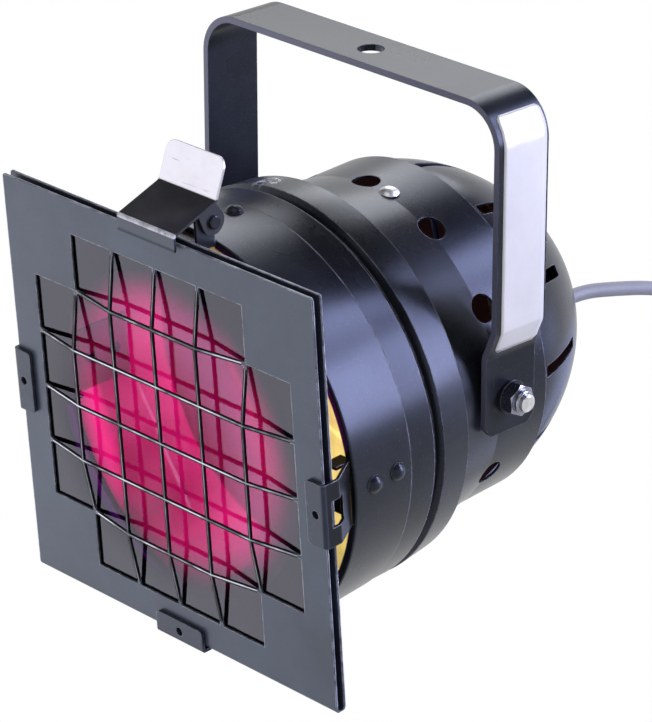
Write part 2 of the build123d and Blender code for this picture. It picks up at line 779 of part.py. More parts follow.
def make_lamp_lens():
    rim = lamp_rim_y()
    seat = rim + lamp_rim_depth / 2 - face_gap
    edge = lamp_radius - lamp_rim_width
    middle = rim - lens_bulge * lens_middle_share
    outer = [(0, rim - lens_bulge), (edge / 2, middle), (edge, rim)]
    inner = [(0, rim - lens_bulge + lamp_glass), (edge / 2, middle + lamp_glass),
             (edge - lamp_glass, seat)]
    edges = [
        ThreePointArc(*outer), Polyline(outer[-1], (lamp_radius, rim), (lamp_radius, seat), inner[-1]),
        ThreePointArc(*inner), Line(inner[0], outer[0]),
    ]
    return revolve(make_face(edges), Axis.Y)


def lamp_back_y():
    return lamp_rim_y() + lamp_rim_depth + reflector_depth + neck_length


def make_lamp_prongs():
    blades = []
    for side in (-1, 1):
        x = side * prong_spacing / 2
        y = lamp_back_y() + prong_length / 2
        blades.append(Pos(x, y, 0) * Box(prong_thickness, prong_length, prong_width))
    return Compound(children=blades)


def make_lamp_filament():
    """Coiled filament across the axis, with a support post at each end."""
    y = lamp_rim_y() + filament_behind_rim
    length = filament_coil_pitch * filament_turns
    coil = Helix(filament_coil_pitch, length, filament_coil_radius)
    coil = Pos(-length / 2, y, 0) * Rotation(0, 90, 0) * coil
    start = coil @ 0
    profile = Plane(origin=start, z_dir=coil % 0) * Circle(filament_wire_radius)
    wire = sweep(profile, path=coil, is_frenet=True)
    floor = lamp_rim_y() + lamp_rim_depth + reflector_depth - lamp_glass
    posts = []
    for end in (coil @ 0, coil @ 1):
        posts.append(rod(filament_post_radius, (end.X, end.Y, end.Z), (end.X, floor - face_gap, end.Z)))
    return wire + posts[0] + posts[1]


def make_lamp_ring():
    """Split wire ring that springs into the barrel and presses the lamp's rim forward."""
    y = lamp_rim_y() + lamp_rim_depth + ring_wire_radius + face_gap
    radius = lamp_radius - ring_wire_radius
    ring = revolve(Pos(radius, y) * Circle(ring_wire_radius), Axis.Y, revolution_arc=ring_arc_angle)
    return around_axis(ring, ring_start_angle)


def make_lampholder():
    front = lamp_back_y() + face_gap
    block = Box(socket_width, socket_length, socket_height)
    block = fillet(block.edges().filter_by(Axis.Y), socket_corner_radius)
    socket = Pos(0, front + socket_length / 2, 0) * block
    for side in (-1, 1):
        slot = Pos(side * prong_spacing / 2, front + prong_length / 2, 0)
        socket -= slot * Box(prong_thickness + 2 * seat_gap, prong_length + 2 * seat_gap,
                             prong_width + 2 * seat_gap)
    return socket


def terminal_frame():
    """Seat of the terminal block's bracket: inside the rear body, under its dome screw."""
    return sqrt((body_radius(vent_y) - shell_wall) ** 2 - (block_width / 2) ** 2) - seat_gap


def make_terminal_plate():
    radius = terminal_frame()
    plate = Pos(radius - plate_thickness / 2, vent_y + terminal_plate_shift, 0)
    plate *= Box(plate_thickness, terminal_plate_length, block_width)
    plate -= Pos(radius, vent_y, 0) * Rotation(0, 90, 0) * Cylinder(
        terminal_screw_radius + face_gap, 4 * plate_thickness)
    return around_axis(plate, terminal_angle)


def terminal_block_y():
    return vent_y + terminal_nut_across_flats / 2 + seat_gap + block_length / 2 + overrun


def make_terminal_block():
    radius = terminal_frame() - plate_thickness - face_gap - block_height / 2
    y = terminal_block_y()
    block = Pos(radius, y, 0) * Box(block_height, block_length, block_width)
    edges = block.edges().filter_by(Axis.Y).sort_by(Axis.X)[:2]
    block = fillet(edges, block_height / 6)
    floor = radius - block_height / 2
    for side in (-1, 1):
        z = side * block_width / 4
        for dy in (-1, 1):
            screw = Pos(floor, y + dy * block_length / 4, z) * Rotation(0, 90, 0)
            block += screw * Cylinder(block_screw_radius, 2 * block_screw_height)
    return around_axis(block, terminal_angle)


def make_terminal_screw():
    """Bright dome-headed screw through the rear body, with its nut on the bracket."""
    outer = body_radius(vent_y - terminal_screw_head_radius) + face_gap
    ball = (terminal_screw_head_radius ** 2 + terminal_screw_head_height ** 2) / (
        2 * terminal_screw_head_height)
    head = Pos(0, 0, terminal_screw_head_height - ball) * Sphere(ball)
    head &= Cylinder(terminal_screw_head_radius, terminal_screw_head_height,
                     align=(Align.CENTER, Align.CENTER, Align.MIN))
    nut_face = terminal_frame() - plate_thickness - face_gap
    depth = outer - nut_face
    shank = Cylinder(terminal_screw_radius - face_gap, depth + terminal_nut_height + overrun,
                     align=(Align.CENTER, Align.CENTER, Align.MAX))
    nut = extrude(RegularPolygon(terminal_nut_across_flats / 2, 6, major_radius=False), terminal_nut_height)
    screw = head + shank + Pos(0, 0, -depth - terminal_nut_height) * nut
    return around_axis(Pos(outer, vent_y, 0) * Rotation(0, 90, 0) * screw, terminal_angle)


def block_point(radius, y, across):
    """A point beside the terminal block: its distance from the axis, depth and sideways offset."""
    angle = radians(terminal_angle)
    return (radius * cos(angle) - across * sin(angle), y, radius * sin(angle) + across * cos(angle))


def wire_along(points, radius):
    """Insulated wire along straight runs joined by tangent arcs."""
    runs = [(Vector(*b) - Vector(*a)).length for a, b in zip(points, points[1:])]
    radii = []
    for a, b, c, first, second in zip(points, points[1:], points[2:], runs, runs[1:]):
        turn = (Vector(*b) - Vector(*a)).get_angle(Vector(*c) - Vector(*b))
        radii.append(min(arc_share * min(first, second) / tan(radians(turn / 2)), 5 * lead_bend_radius))
    path = FilletPolyline(*points, radius=radii)
    return sweep(Plane(origin=path @ 0, z_dir=path % 0) * Circle(radius), path=path)


def make_lamp_lead(side):
    """Lead from the lamp holder's back, round inside the dome, to the terminal block's rear."""
    back = lamp_back_y() + face_gap + socket_length + face_gap
    across = -side * block_width / 4
    block_back = terminal_block_y() + block_length / 2 + face_gap
    reach = terminal_frame() - plate_thickness - face_gap - block_height / 2
    inside = shell_wall + lead_dome_gap
    turn_y = back + lead_bend_radius
    shoulder_y = (turn_y + block_back) / 2 + lead_bend_radius
    points = [
        (side * prong_spacing / 2, back, 0), (side * prong_spacing / 2, turn_y, 0),
        block_point(lead_turn_reach, turn_y, across),
        block_point(dome_radius(shoulder_y + inside) - inside, shoulder_y, across),
        block_point(reach, block_back + 2 * lead_bend_radius, across),
        block_point(reach, block_back, across),
    ]
    return wire_along(points, lead_radius)


def make_cord_core(side):
    """Core of the mains cord from the gland's inner end up to the terminal block."""
    start_y = dome_flat_y - gland_inner_depth()
    block_back = terminal_block_y() + block_length / 2 + face_gap
    reach = terminal_frame() - plate_thickness - face_gap - block_height / 2 - 2 * lead_radius - seat_gap
    start_x = side * core_spacing / 2
    across = -side * block_width / 4
    points = [
        (start_x, start_y, gland_z), (start_x, start_y - lead_bend_radius / 2, gland_z),
        (side * core_swing, start_y - lead_bend_radius, gland_z / 3),
        (side * core_swing, start_y - 2 * lead_bend_radius, socket_height),
        block_point(reach - lead_bend_radius / 2, block_back + 2 * lead_bend_radius, 2 * across),
        block_point(reach, block_back + lead_bend_radius, across),
        block_point(reach, block_back, across),
    ]
    return wire_along(points, core_radius)


def gland_inner_depth():
    """How far the gland reaches inside the dome, past its nut."""
    return gland_nut_depth + shell_wall + 2 * overrun


def make_cable_gland():
    """Nylon gland: hexagon against the cap, domed nose and a tapered tail round the cord."""
    seat = dome_flat_y + face_gap
    hexagon = extrude(RegularPolygon(gland_flange_radius, 6), gland_flange_depth)
    nose_end = gland_flange_depth + gland_nose_depth
    shape = [
        (0, -gland_inner_depth()), (gland_hole_radius, -gland_inner_depth()), (gland_hole_radius, 0),
        (gland_nose_radius, 0), (gland_nose_radius, gland_flange_depth),
        (gland_nose_radius, nose_end - overrun), (gland_nose_radius - overrun, nose_end),
        (gland_tail_radius, gland_length), (0, gland_length),
    ]
    core = revolve(Plane.XZ * make_face(Polyline(*shape, close=True)), Axis.Z)
    gland = core + (hexagon - Cylinder(gland_hole_radius, 4 * gland_flange_depth))
    return Pos(0, seat, gland_z) * Rotation(-90, 0, 0) * gland


def make_gland_nut():
    hexagon = extrude(RegularPolygon(gland_flange_radius, 6), gland_nut_depth)
    hexagon -= Cylinder(gland_hole_radius + face_gap, 4 * gland_nut_depth)
    y = dome_flat_y - shell_wall - face_gap
    return Pos(0, y, gland_z) * Rotation(90, 0, 0) * hexagon


def gland_mouth():
    """Point of the cord's exit from the gland's tail, in the can's frame."""
    return Vector(0, dome_flat_y + face_gap + gland_length, gland_z)


def to_object(point):
    """A point of the can's frame in the hanging object's frame."""
    tip = radians(nose_down_angle)
    y, z = point.Y - pivot_y, point.Z - pivot_rise
    return Vector(point.X, y * cos(tip) - z * sin(tip), y * sin(tip) + z * cos(tip) - yoke_height)


def cord_points():
    """Corner points of the cord's free stretch, from the gland's tail to the coil."""
    mouth = to_object(gland_mouth())
    tip = radians(nose_down_angle)
    points = [mouth, mouth + Vector(0, cos(tip), sin(tip)) * cord_first_run]
    cap_end = dome_flat_y - pivot_y
    points += [Vector(0, cap_end + y, z - yoke_height) for y, z in cord_route]
    lead = radians(coil_lead_angle)
    return points + [points[-1] + Vector(0, sin(lead), -cos(lead)) * cord_last_run]


def make_mains_cord():
    """Straight runs joined by tangent arcs, each arc as large as its two runs allow."""
    points = cord_points()
    runs = [(b - a).length for a, b in zip(points, points[1:])]
    radii = []
    for a, b, c, first, second in zip(points, points[1:], points[2:], runs, runs[1:]):
        turn = (b - a).get_angle(c - b)
        radii.append(arc_share * min(first, second) / tan(radians(turn / 2)))
    path = FilletPolyline(*points, radius=radii)
    print("cord runs", [round(r, 1) for r in runs])
    print("cord radii", [round(r, 1) for r in radii])
    tube = sweep(Plane(origin=path @ 0, z_dir=path % 0) * Circle(cord_radius), path=path)
    print("cord length", round(path.length, 1), "volume ratio",
          round(tube.volume / (pi * cord_radius ** 2 * path.length), 4))
    return tube


def coil_pitch():
    return 2 * cord_radius + cord_gap


def coil_outer_radius():
    return coil_inner_radius + coil_half_turns_in * coil_pitch() / 2


def coil_centre():
    """Centre of the coil's first half turn: the cord runs into it one diameter further on."""
    lead = radians(coil_lead_angle)
    start = cord_points()[-1] + Vector(0, sin(lead), -cos(lead)) * 2 * cord_radius
    return start - Vector(0, cos(lead), sin(lead)) * coil_outer_radius()


def coil_point(radius, angle, layer, shift):
    """A point of the coil; the angle runs from +Y to +Z, and the shift moves its centre."""
    lead, a = radians(coil_lead_angle), radians(angle)
    y = shift * cos(lead) + radius * cos(a)
    z = shift * sin(lead) + radius * sin(a)
    return coil_centre() + Vector(layer * coil_pitch(), y, z)


def coil_marks():
    """Distances from the centre, in half pitches inside the outer turn, at each half turn's ends."""
    turns = coil_half_turns_in
    inward = [k - k % 2 for k in range(turns + 1)]
    outward = [turns - 2 - j if j % 2 else turns + 1 - j for j in range(1, turns + 1)]
    return inward + [turns + 1] + outward


def coil_path():
    """Half circles spiralling in, one half turn that climbs a layer, and half circles back out."""
    step = coil_pitch() / 2
    marks = coil_marks()
    start = cord_points()[-1]
    edges = []
    angle = coil_lead_angle
    for i, (a, b) in enumerate(zip(marks, marks[1:])):
        radius = coil_outer_radius() - (a + b) / 2 * step
        shift = (b - a) / 2 * step * (1 if i % 2 == 0 else -1)
        layer = 0 if i < coil_half_turns_in else 1
        if i == coil_half_turns_in:
            high = sqrt(radius ** 2 + (coil_pitch() / 2) ** 2)
            middle = coil_point(high, angle - 90, 0.5, shift)
            edges.append(Edge.make_tangent_arc(edges[-1] @ 1, edges[-1] % 1, middle))
            finish = coil_point(radius, angle - 180, 1, shift)
            edges.append(Edge.make_tangent_arc(middle, edges[-1] % 1, finish))
        else:
            last = i == len(marks) - 2
            turn = coil_lead_angle if last else 180
            points = [coil_point(radius, angle - t, layer, shift) for t in (0, turn / 2, turn)]
            edges.append(ThreePointArc(*points).edge())
        angle -= 180
    first = Line(start, edges[0] @ 0).edge()
    tail = Line(edges[-1] @ 1, (edges[-1] @ 1) + (edges[-1] % 1) * cord_tail).edge()
    return [first] + edges + [tail]


def least_coil_gap(edges):
    """Least distance between stretches of the coil that are over a quarter turn apart."""
    points = []
    for edge in edges:
        count = max(2, round(edge.length / cord_radius))
        points += [edge @ (k / count) for k in range(count)]
    apart = round(coil_inner_radius * pi / 2 / cord_radius)
    least = min((points[i] - points[j]).length
                for i in range(len(points)) for j in range(i + apart, len(points)))
    return least - 2 * cord_radius


def make_cord_coil():
    edges = coil_path()
    wire = Wire(edges)
    print("coil length", round(wire.length, 1), "least gap", round(least_coil_gap(edges), 3))
    return sweep(Plane(origin=edges[0] @ 0, z_dir=edges[0] % 0) * Circle(cord_radius), path=wire)


def make_coil_tie():
    """Strap round all the coil's turns."""
    step = coil_pitch() / 2
    marks = coil_half_turns_in + 1
    span = marks * step + 2 * cord_radius + 2 * tie_slack
    depth = coil_pitch() + 2 * cord_radius + tie_slack
    corner = cord_radius
    band = RectangleRounded(span + 2 * tie_thickness, depth + 2 * tie_thickness, corner + tie_thickness)
    band -= RectangleRounded(span, depth, corner)
    centre = coil_point(coil_outer_radius() - marks / 2 * step, tie_angle, 0.5, 0)
    radial = coil_point(1, tie_angle, 0, 0) - coil_point(0, tie_angle, 0, 0)
    plane = Plane(origin=centre, x_dir=radial, z_dir=radial.cross(Vector(1, 0, 0)))
    return extrude(plane * band, tie_width / 2, both=True)


def plug_place():
    """Location of the plug at the end of the cord's tail, with its own Z pointing away from it."""
    tail = coil_path()[-1]
    return Plane(origin=tail @ 1, x_dir=(1, 0, 0), z_dir=tail % 1)


def make_plug_body():
    body_top = plug_relief_length
    face = body_top + plug_body_length
    shape = [
        (0, 0), (cord_radius + plug_face_gap, 0), (plug_relief_radius, body_top),
        (plug_waist_radius, body_top + plug_face_depth / 2),
        (plug_body_radius, body_top + plug_body_length / 3), (plug_body_radius, face - plug_face_depth),
        (plug_body_radius - plug_face_depth / 3, face), (0, face),
    ]
    body = revolve(Plane.XZ * make_face(Polyline(*shape, close=True)), Axis.Z)
    for side in (-1, 1):
        hole = Pos(0, side * pin_pair_spacing / 2, face - plug_pin_root / 2)
        body -= hole * Cylinder(plug_pin_radius + face_gap, plug_pin_root + face_gap)
    return plug_place() * body


def make_plug_pins():
    face = plug_relief_length + plug_body_length
    pins = []
    for side in (-1, 1):
        pin = Pos(0, side * pin_pair_spacing / 2, face - plug_pin_root + 2 * face_gap) * Cylinder(
            plug_pin_radius, plug_pin_length + plug_pin_root, align=(Align.CENTER, Align.CENTER, Align.MIN))
        tip = pin.edges().filter_by(GeomType.CIRCLE).sort_by(Axis.Z)[-1]
        pins.append(plug_place() * fillet(tip, plug_pin_radius * head_round_share))
    return Compound(children=pins)


if __name__ == "__main__":
    os.makedirs("parts", exist_ok=True)
    can_parts = {
        "front_barrel": make_front_barrel(),
        "rear_body": make_rear_body(),
        "rear_cap": make_rear_cap(),
        "gel_frame": make_gel_frame(),
        "gel_sheet": make_gel_sheet(),
        "frame_holder_right": make_frame_holder(0, frame_size / 2),
        "frame_holder_left": make_frame_holder(180, frame_size / 2),
        "frame_holder_bottom": make_frame_holder(-90, frame_size / 2 - frame_rise),
        "catch_bracket": make_catch_bracket(),
        "catch_lever": make_catch_lever(),
        "catch_pin": make_catch_pin(),
        "catch_spring": make_catch_spring(),
        "holder_rivets": make_holder_rivets(),
        "pivot_spacers": make_pivot_spacers(),
        "pivot_washers": make_pivot_washers(),
        "pivot_bolts": make_pivot_bolts(),
        "pivot_nuts": make_pivot_nuts(),
        "lamp_reflector": make_lamp_reflector(),
        "lamp_lens": make_lamp_lens(),
        "lamp_prongs": make_lamp_prongs(),
        "lamp_filament": make_lamp_filament(),
        "lamp_ring": make_lamp_ring(),
        "lampholder": make_lampholder(),
        "terminal_plate": make_terminal_plate(),
        "terminal_block": make_terminal_block(),
        "terminal_screw": make_terminal_screw(),
        "lead_live": make_lamp_lead(1),
        "lead_neutral": make_lamp_lead(-1),
        "core_live": make_cord_core(1),
        "core_neutral": make_cord_core(-1),
        "cable_gland": make_cable_gland(),
        "gland_nut": make_gland_nut(),
    }
    for name, part in can_parts.items():
        export_step(set_in_yoke(part), f"parts/{name}.step")
    object_parts = {
        "yoke": make_yoke(),
        "mains_cord": make_mains_cord(),
        "cord_coil": make_cord_coil(),
        "coil_tie": make_coil_tie(),
        "plug_body": make_plug_body(),
        "plug_pins": make_plug_pins(),
    }
    for name, part in object_parts.items():
        export_step(part, f"parts/{name}.step")
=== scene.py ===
import math

import bmesh
import bpy
from mathutils import Matrix, Vector


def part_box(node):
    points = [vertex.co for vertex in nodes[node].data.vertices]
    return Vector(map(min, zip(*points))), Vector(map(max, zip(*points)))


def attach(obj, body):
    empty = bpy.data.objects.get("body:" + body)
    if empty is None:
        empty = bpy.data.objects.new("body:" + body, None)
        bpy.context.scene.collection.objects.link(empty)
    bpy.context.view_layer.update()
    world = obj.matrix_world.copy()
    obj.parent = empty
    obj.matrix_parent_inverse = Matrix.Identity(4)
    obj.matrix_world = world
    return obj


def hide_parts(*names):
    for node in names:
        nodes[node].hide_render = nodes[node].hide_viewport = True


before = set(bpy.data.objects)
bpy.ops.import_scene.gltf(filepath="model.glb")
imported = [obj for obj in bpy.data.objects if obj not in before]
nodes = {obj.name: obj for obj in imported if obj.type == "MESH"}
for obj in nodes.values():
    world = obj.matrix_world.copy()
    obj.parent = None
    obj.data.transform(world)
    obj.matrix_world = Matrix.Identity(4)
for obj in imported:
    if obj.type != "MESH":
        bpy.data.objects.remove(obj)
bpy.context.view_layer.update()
scene = bpy.context.scene


def link(obj):
    """Put an object into the scene."""
    scene.collection.objects.link(obj)
    return obj


# Camera at the photograph's viewpoint: its axes and its place in the object's frame, in metres
CAMERA_RIGHT = Vector((0.689651, 0.724140, -0.001911))
CAMERA_UP = Vector((-0.291104, 0.279654, 0.914906))
CAMERA_FORWARD = Vector((-0.663054, 0.630409, -0.403663))
CAMERA_PLACE = Vector((1.124497, -1.096383, 0.544790))
CAMERA_COLUMNS = (CAMERA_RIGHT, CAMERA_UP, -CAMERA_FORWARD, CAMERA_PLACE)

camera_data = bpy.data.cameras.new("camera")
camera_data.sensor_width = 36.0
camera_data.sensor_fit = "AUTO"
camera_data.lens = 190.37
camera_data.clip_end = 20.0
camera = link(bpy.data.objects.new("camera", camera_data))
camera.matrix_world = Matrix(
    [[column[row] for column in CAMERA_COLUMNS] for row in range(3)] + [[0, 0, 0, 1]])
scene.camera = camera


# Mains cord: one line from the gland's tail, through the coil, to the plug. Metres, object frame.
CORD_RADIUS = 0.0035
ROUTE = [
    (0, 0.124761, -0.155743), (0, 0.138727, -0.154766), (0, 0.163, -0.1602), (0, 0.190, -0.1673),
    (0, 0.218, -0.1785), (0, 0.243, -0.194), (0, 0.262, -0.216), (0, 0.2715, -0.243),
    (0, 0.276, -0.270), (0, 0.2842, -0.2846), (0, 0.295514, -0.295914),
]
COIL_CENTRE = (0.266965, -0.334363)  # y and z
COIL_RADIUS = 0.047375  # outermost turn, at the middle of the cord
COIL_PITCH = 0.00755  # from one turn to the next, across and along the coil's axis
COIL_START = math.radians(45)  # where the cord enters the first turn
POINTS_PER_HALF = 8
POINTS_OF_LAST_HALF = 2
CLIMBING_HALF = 5  # the half turn that crosses from the first layer to the second
# How far the ends of the half turns lie inside the outermost turn, in half pitches
COIL_INSETS = (0, 0, 2, 2, 4, 4, 6, 2, 4, 0, 2, -2)
TAIL_LENGTH = 0.036  # straight run above the plug
TAIL_SHARES = (0.75, 0.35, 0)


def coil_half(index):
    """Points of one half turn, on the polygon whose curve runs along the turn."""
    step = COIL_PITCH / 2
    first, last = COIL_INSETS[index], COIL_INSETS[index + 1]
    radius = COIL_RADIUS - (first + last) / 2 * step
    shift = (last - first) / 2 * step * (1 if index % 2 == 0 else -1)
    corner_radius = radius / math.cos(math.pi / (2 * POINTS_PER_HALF))
    is_last = index == len(COIL_INSETS) - 2
    points = []
    for k in range(POINTS_OF_LAST_HALF if is_last else POINTS_PER_HALF):
        share = (k + 0.5) / POINTS_PER_HALF
        angle = COIL_START - math.pi * (index + share)
        layer = min(1, max(0, index - CLIMBING_HALF + share))
        points.append((
            COIL_PITCH * layer,
            COIL_CENTRE[0] + shift * math.cos(COIL_START) + corner_radius * math.cos(angle),
            COIL_CENTRE[1] + shift * math.sin(COIL_START) + corner_radius * math.sin(angle),
        ))
    return points


def cord_line():
    """The cord's free run, its coil, and the straight tail down into the plug's top."""
    points = list(ROUTE)
    for index in range(len(COIL_INSETS) - 1):
        points += coil_half(index)
    low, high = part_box("plug_body")
    x, y = (low[0] + high[0]) / 2, (low[1] + high[1]) / 2
    return points + [(x, y, high[2] + TAIL_LENGTH * share) for share in TAIL_SHARES]


cord_points = cord_line()
cord_curve = bpy.data.curves.new("mains_lead", "CURVE")
cord_curve.dimensions = "3D"
cord_curve.bevel_depth = 1.0
cord_curve.bevel_resolution = 6
cord_curve.resolution_u = 6
spline = cord_curve.splines.new("NURBS")
spline.points.add(len(cord_points) - 1)
for point, place in zip(spline.points, cord_points):
    point.co = (*place, 1)
    point.radius = CORD_RADIUS
spline.order_u = 3
spline.use_endpoint_u = True
cord_piece = link(bpy.data.objects.new("mains_lead", cord_curve))
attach(cord_piece, "can")
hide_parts("mains_cord", "cord_coil")


# Nodes: each function adds a few to a tree and gives back the output that matters

def tree(name):
    """New material, its node tree and its Principled shader."""
    material = bpy.data.materials.new(name)
    material.use_nodes = True
    nt = material.node_tree
    return material, nt, nt.nodes["Principled BSDF"]


def feed(nt, node, values):
    """Fill a node's inputs: another node's output is linked, anything else is set."""
    for socket, value in values.items():
        if isinstance(value, bpy.types.NodeSocket):
            nt.links.new(value, node.inputs[socket])
        else:
            node.inputs[socket].default_value = value


def add(nt, kind, values=None, **settings):
    node = nt.nodes.new(kind)
    for key, value in settings.items():
        setattr(node, key, value)
    feed(nt, node, values or {})
    return node


def noise(nt, vector, scale, detail, rough):
    values = {"Vector": vector, "Scale": scale, "Detail": detail, "Roughness": rough}
    return add(nt, "ShaderNodeTexNoise", values).outputs["Fac"]


def waves(nt, vector, direction, values):
    node = add(nt, "ShaderNodeTexWave", {"Vector": vector, **values}, bands_direction=direction)
    return node.outputs["Fac"]


def stretched(nt, vector, scale, rotation=(0, 0, 0)):
    """Coordinates with a scale of their own along each axis, for a texture with a grain."""
    values = {"Vector": vector, "Scale": scale, "Rotation": rotation}
    return add(nt, "ShaderNodeMapping", values).outputs["Vector"]


def ramp(nt, value, start, end, low=0, high=1):
    """Straight change between two greys, flat beyond the two stops."""
    node = add(nt, "ShaderNodeValToRGB", {"Fac": value})
    for element, place, grey in zip(node.color_ramp.elements, (start, end), (low, high)):
        element.position = place
        element.color = (grey, grey, grey, 1)
    return node.outputs["Color"]


def fade(nt, value, start, end, before=0, after=1):
    """Smooth change from one level to another."""
    values = {"Value": value, "From Min": start, "From Max": end, "To Min": before, "To Max": after}
    node = add(nt, "ShaderNodeMapRange", values, interpolation_type="SMOOTHSTEP")
    return node.outputs["Result"]


def calc(nt, operation, *values):
    """Math node over one or two values."""
    return add(nt, "ShaderNodeMath", dict(enumerate(values)), operation=operation).outputs[0]


def chain(nt, operation, first, *others):
    """The same operation over any number of values, from the left."""
    for other in others:
        first = calc(nt, operation, first, other)
    return first


def times(nt, *values):
    return chain(nt, "MULTIPLY", *values)


def plus(nt, *values):
    return chain(nt, "ADD", *values)


def largest(nt, *values):
    return chain(nt, "MAXIMUM", *values)


def minus(nt, a, b):
    return calc(nt, "SUBTRACT", a, b)


def above(nt, value, limit):
    return calc(nt, "GREATER_THAN", value, limit)


def below(nt, value, limit):
    return calc(nt, "LESS_THAN", value, limit)


def mix(nt, factor, a, b):
    """Mix of two colours; each is a triple or an output."""
    a, b = ((*value, 1) if isinstance(value, tuple) else value for value in (a, b))
    node = add(nt, "ShaderNodeMix", {"Factor": factor, 6: a, 7: b}, data_type="RGBA")
    return node.outputs[2]


def drift(nt, cloud, start, end, a, b):
    """Slow change from one colour to another over a noise."""
    return mix(nt, ramp(nt, cloud, start, end), a, b)


def shade(colour, factor, lift=0.0):
    """The colour made darker or lighter."""
    return tuple(c * factor + lift for c in colour)


def bump(nt, height, strength, distance, normal=None):
    values = {"Height": height, "Strength": strength, "Distance": distance}
    if normal is not None:
        values["Normal"] = normal
    return add(nt, "ShaderNodeBump", values).outputs["Normal"]


def rounded_edges(nt, radius):
    return add(nt, "ShaderNodeBevel", {"Radius": radius}, samples=4).outputs["Normal"]


def object_coords(nt):
    return add(nt, "ShaderNodeTexCoord").outputs["Object"]


# The can's own frame, in metres: x across, y back from the colour frame's face, z up from the axis
TIP = math.radians(4)  # nose down against the object's frame
PIVOT_DROP = 0.137  # from the object's origin down to the pivots
PIVOT_Y, PIVOT_Z = 0.1219, 0.0044  # pivots in the can's frame
INWARD_LIMIT = -0.02  # place times normal across the axis, below which a face looks inward

# Where finishes, painted light and painted shade change in that frame
RIM_BACK = 0.0238  # inner side of the barrel's in-turned rim
LENS_BACK = 0.0795  # the painted lamp light on the barrel's inside reaches up to here
GLOW_FULL = 0.10  # depth of the strongest painted lamp light
# Reach of the painted lamp light inside the rear body
BODY_FRONT, BODY_BACK = 0.086, 0.30
HOLDER_ARMS = 0.0  # holders are darker behind this, as painted shade
BAR_FRONT = -0.0003  # bars bow forward of this
GRID_PITCH = 0.0272  # from bar to bar
FRAME_RISE = 0.0015  # middle of the bars' lattice above the axis
HIGHLIGHT_RISE = 0.00012  # painted highlight line above the middle of a level bar
LEVEL_HIGHLIGHT, UPRIGHT_HIGHLIGHT = 0.00036, 0.00020  # half widths of the painted highlight lines
SCUFF_PLACE = (-0.0175, 0.0825, 0.0900)
SCUFF_INNER, SCUFF_OUTER = 0.0045, 0.0085
TAB_BOTTOM = 0.1123  # the catch is bright above this
LIP_FRONT, LIP_BEND = -0.0016, 0.1031  # the catch's front lip, painted lighter as sheen, and its bend, which carries a painted highlight

# Light on the film and in the lens: x and z of a middle, then an inner and an outer radius
FILM_CLEAR = (0.004, 0.006, 0.052, 0.0745)
FILM_VEIL = (-0.012, -0.008, 0.022, 0.074)
LENS_BRIGHT = (0.036, -0.030, 0.020, 0.090)
LENS_CORE = (-0.012, -0.006, 0.004, 0.026)
# Streaks, painted reflection on the film and brighter lines in the lens's light: x and z of both
# ends, then half the width
FILM_STREAK = ((-0.022, 0.030), (0.016, -0.034), 0.0026)
LENS_STREAKS = (
    ((-0.030, 0.008), (0.086, -0.024), 0.0022),
    ((-0.006, 0.066), (0.012, 0.004), 0.0028),
    ((-0.040, 0.030), (-0.020, -0.030), 0.0024),
)
STREAK_WOBBLE = 9  # side to side, in half widths


def can_coords(nt):
    """Texture coordinates, the place in the can's own frame, and that place split."""
    coords = add(nt, "ShaderNodeTexCoord")
    origin_y = PIVOT_DROP * math.sin(TIP) + PIVOT_Y
    origin_z = PIVOT_DROP * math.cos(TIP) + PIVOT_Z
    can = add(nt, "ShaderNodeMapping", {
        "Vector": coords.outputs["Object"],
        "Rotation": (-TIP, 0, 0),
        "Location": (0, origin_y, origin_z),
    }).outputs["Vector"]
    return coords, can, add(nt, "ShaderNodeSeparateXYZ", {0: can}).outputs


def inward_mask(nt, coords, split):
    """1 on faces that look towards the lamp's axis, 0 on the outside."""
    turned = add(nt, "ShaderNodeMapping", {
        "Vector": coords.outputs["Normal"],
        "Rotation": (-TIP, 0, 0),
    }, vector_type="VECTOR").outputs["Vector"]
    normal = add(nt, "ShaderNodeSeparateXYZ", {0: turned}).outputs
    outward = plus(nt, times(nt, split[0], normal[0]), times(nt, split[2], normal[2]))
    return below(nt, outward, INWARD_LIMIT)


def lamp_light(nt, can, split):
    """Lamp's light inside the can: stronger towards the lens, with rays and bright folds."""
    depth = fade(nt, split[1], RIM_BACK, GLOW_FULL, 0.42, 1.0)
    rays = ramp(nt, noise(nt, stretched(nt, can, (34, 5, 34)), 1.0, 3, 0.6), 0.32, 0.66, 0.50, 1.0)
    folds = waves(nt, can, "DIAGONAL", {
        "Scale": 5.0, "Distortion": 9.0, "Detail": 1.0, "Detail Scale": 0.7,
    })
    return plus(nt, times(nt, depth, rays), times(nt, ramp(nt, folds, 0.955, 0.995), 0.7))


# Black enamel

ENAMEL = (0.007, 0.0075, 0.010)
DUST, SCRATCH = (0.16, 0.16, 0.165), (0.11, 0.11, 0.115)
SCUFF = (0.70, 0.70, 0.78)
# Black of the bowed bars, and the near white of the painted highlights along them
BAR_BLACK, BAR_HIGHLIGHT = (0.006, 0.006, 0.008), (0.85, 0.85, 0.90)
COOL_GLOSS = (0.66, 0.75, 1.0, 1)
DUST_AMOUNT, SCRATCH_AMOUNT = 0.5, 0.175
SIDE_LIMIT = 0.9  # a face looks forward or back when its normal's y is beyond this


def edge_wear_and_highlight_mask(nt, vector, smooth):
    """Patchy mask of the edges, for paint loss and painted highlights, found where the bevelled
    normal leaves the true one.
    """
    normal = add(nt, "ShaderNodeNewGeometry").outputs["Normal"]
    match = add(nt, "ShaderNodeVectorMath", {0: smooth, 1: normal}, operation="DOT_PRODUCT")
    corner = ramp(nt, match.outputs["Value"], 0.84, 0.965, 1, 0)
    return times(nt, corner, ramp(nt, noise(nt, vector, 160, 3, 0.6), 0.40, 0.60, 0.25, 1))


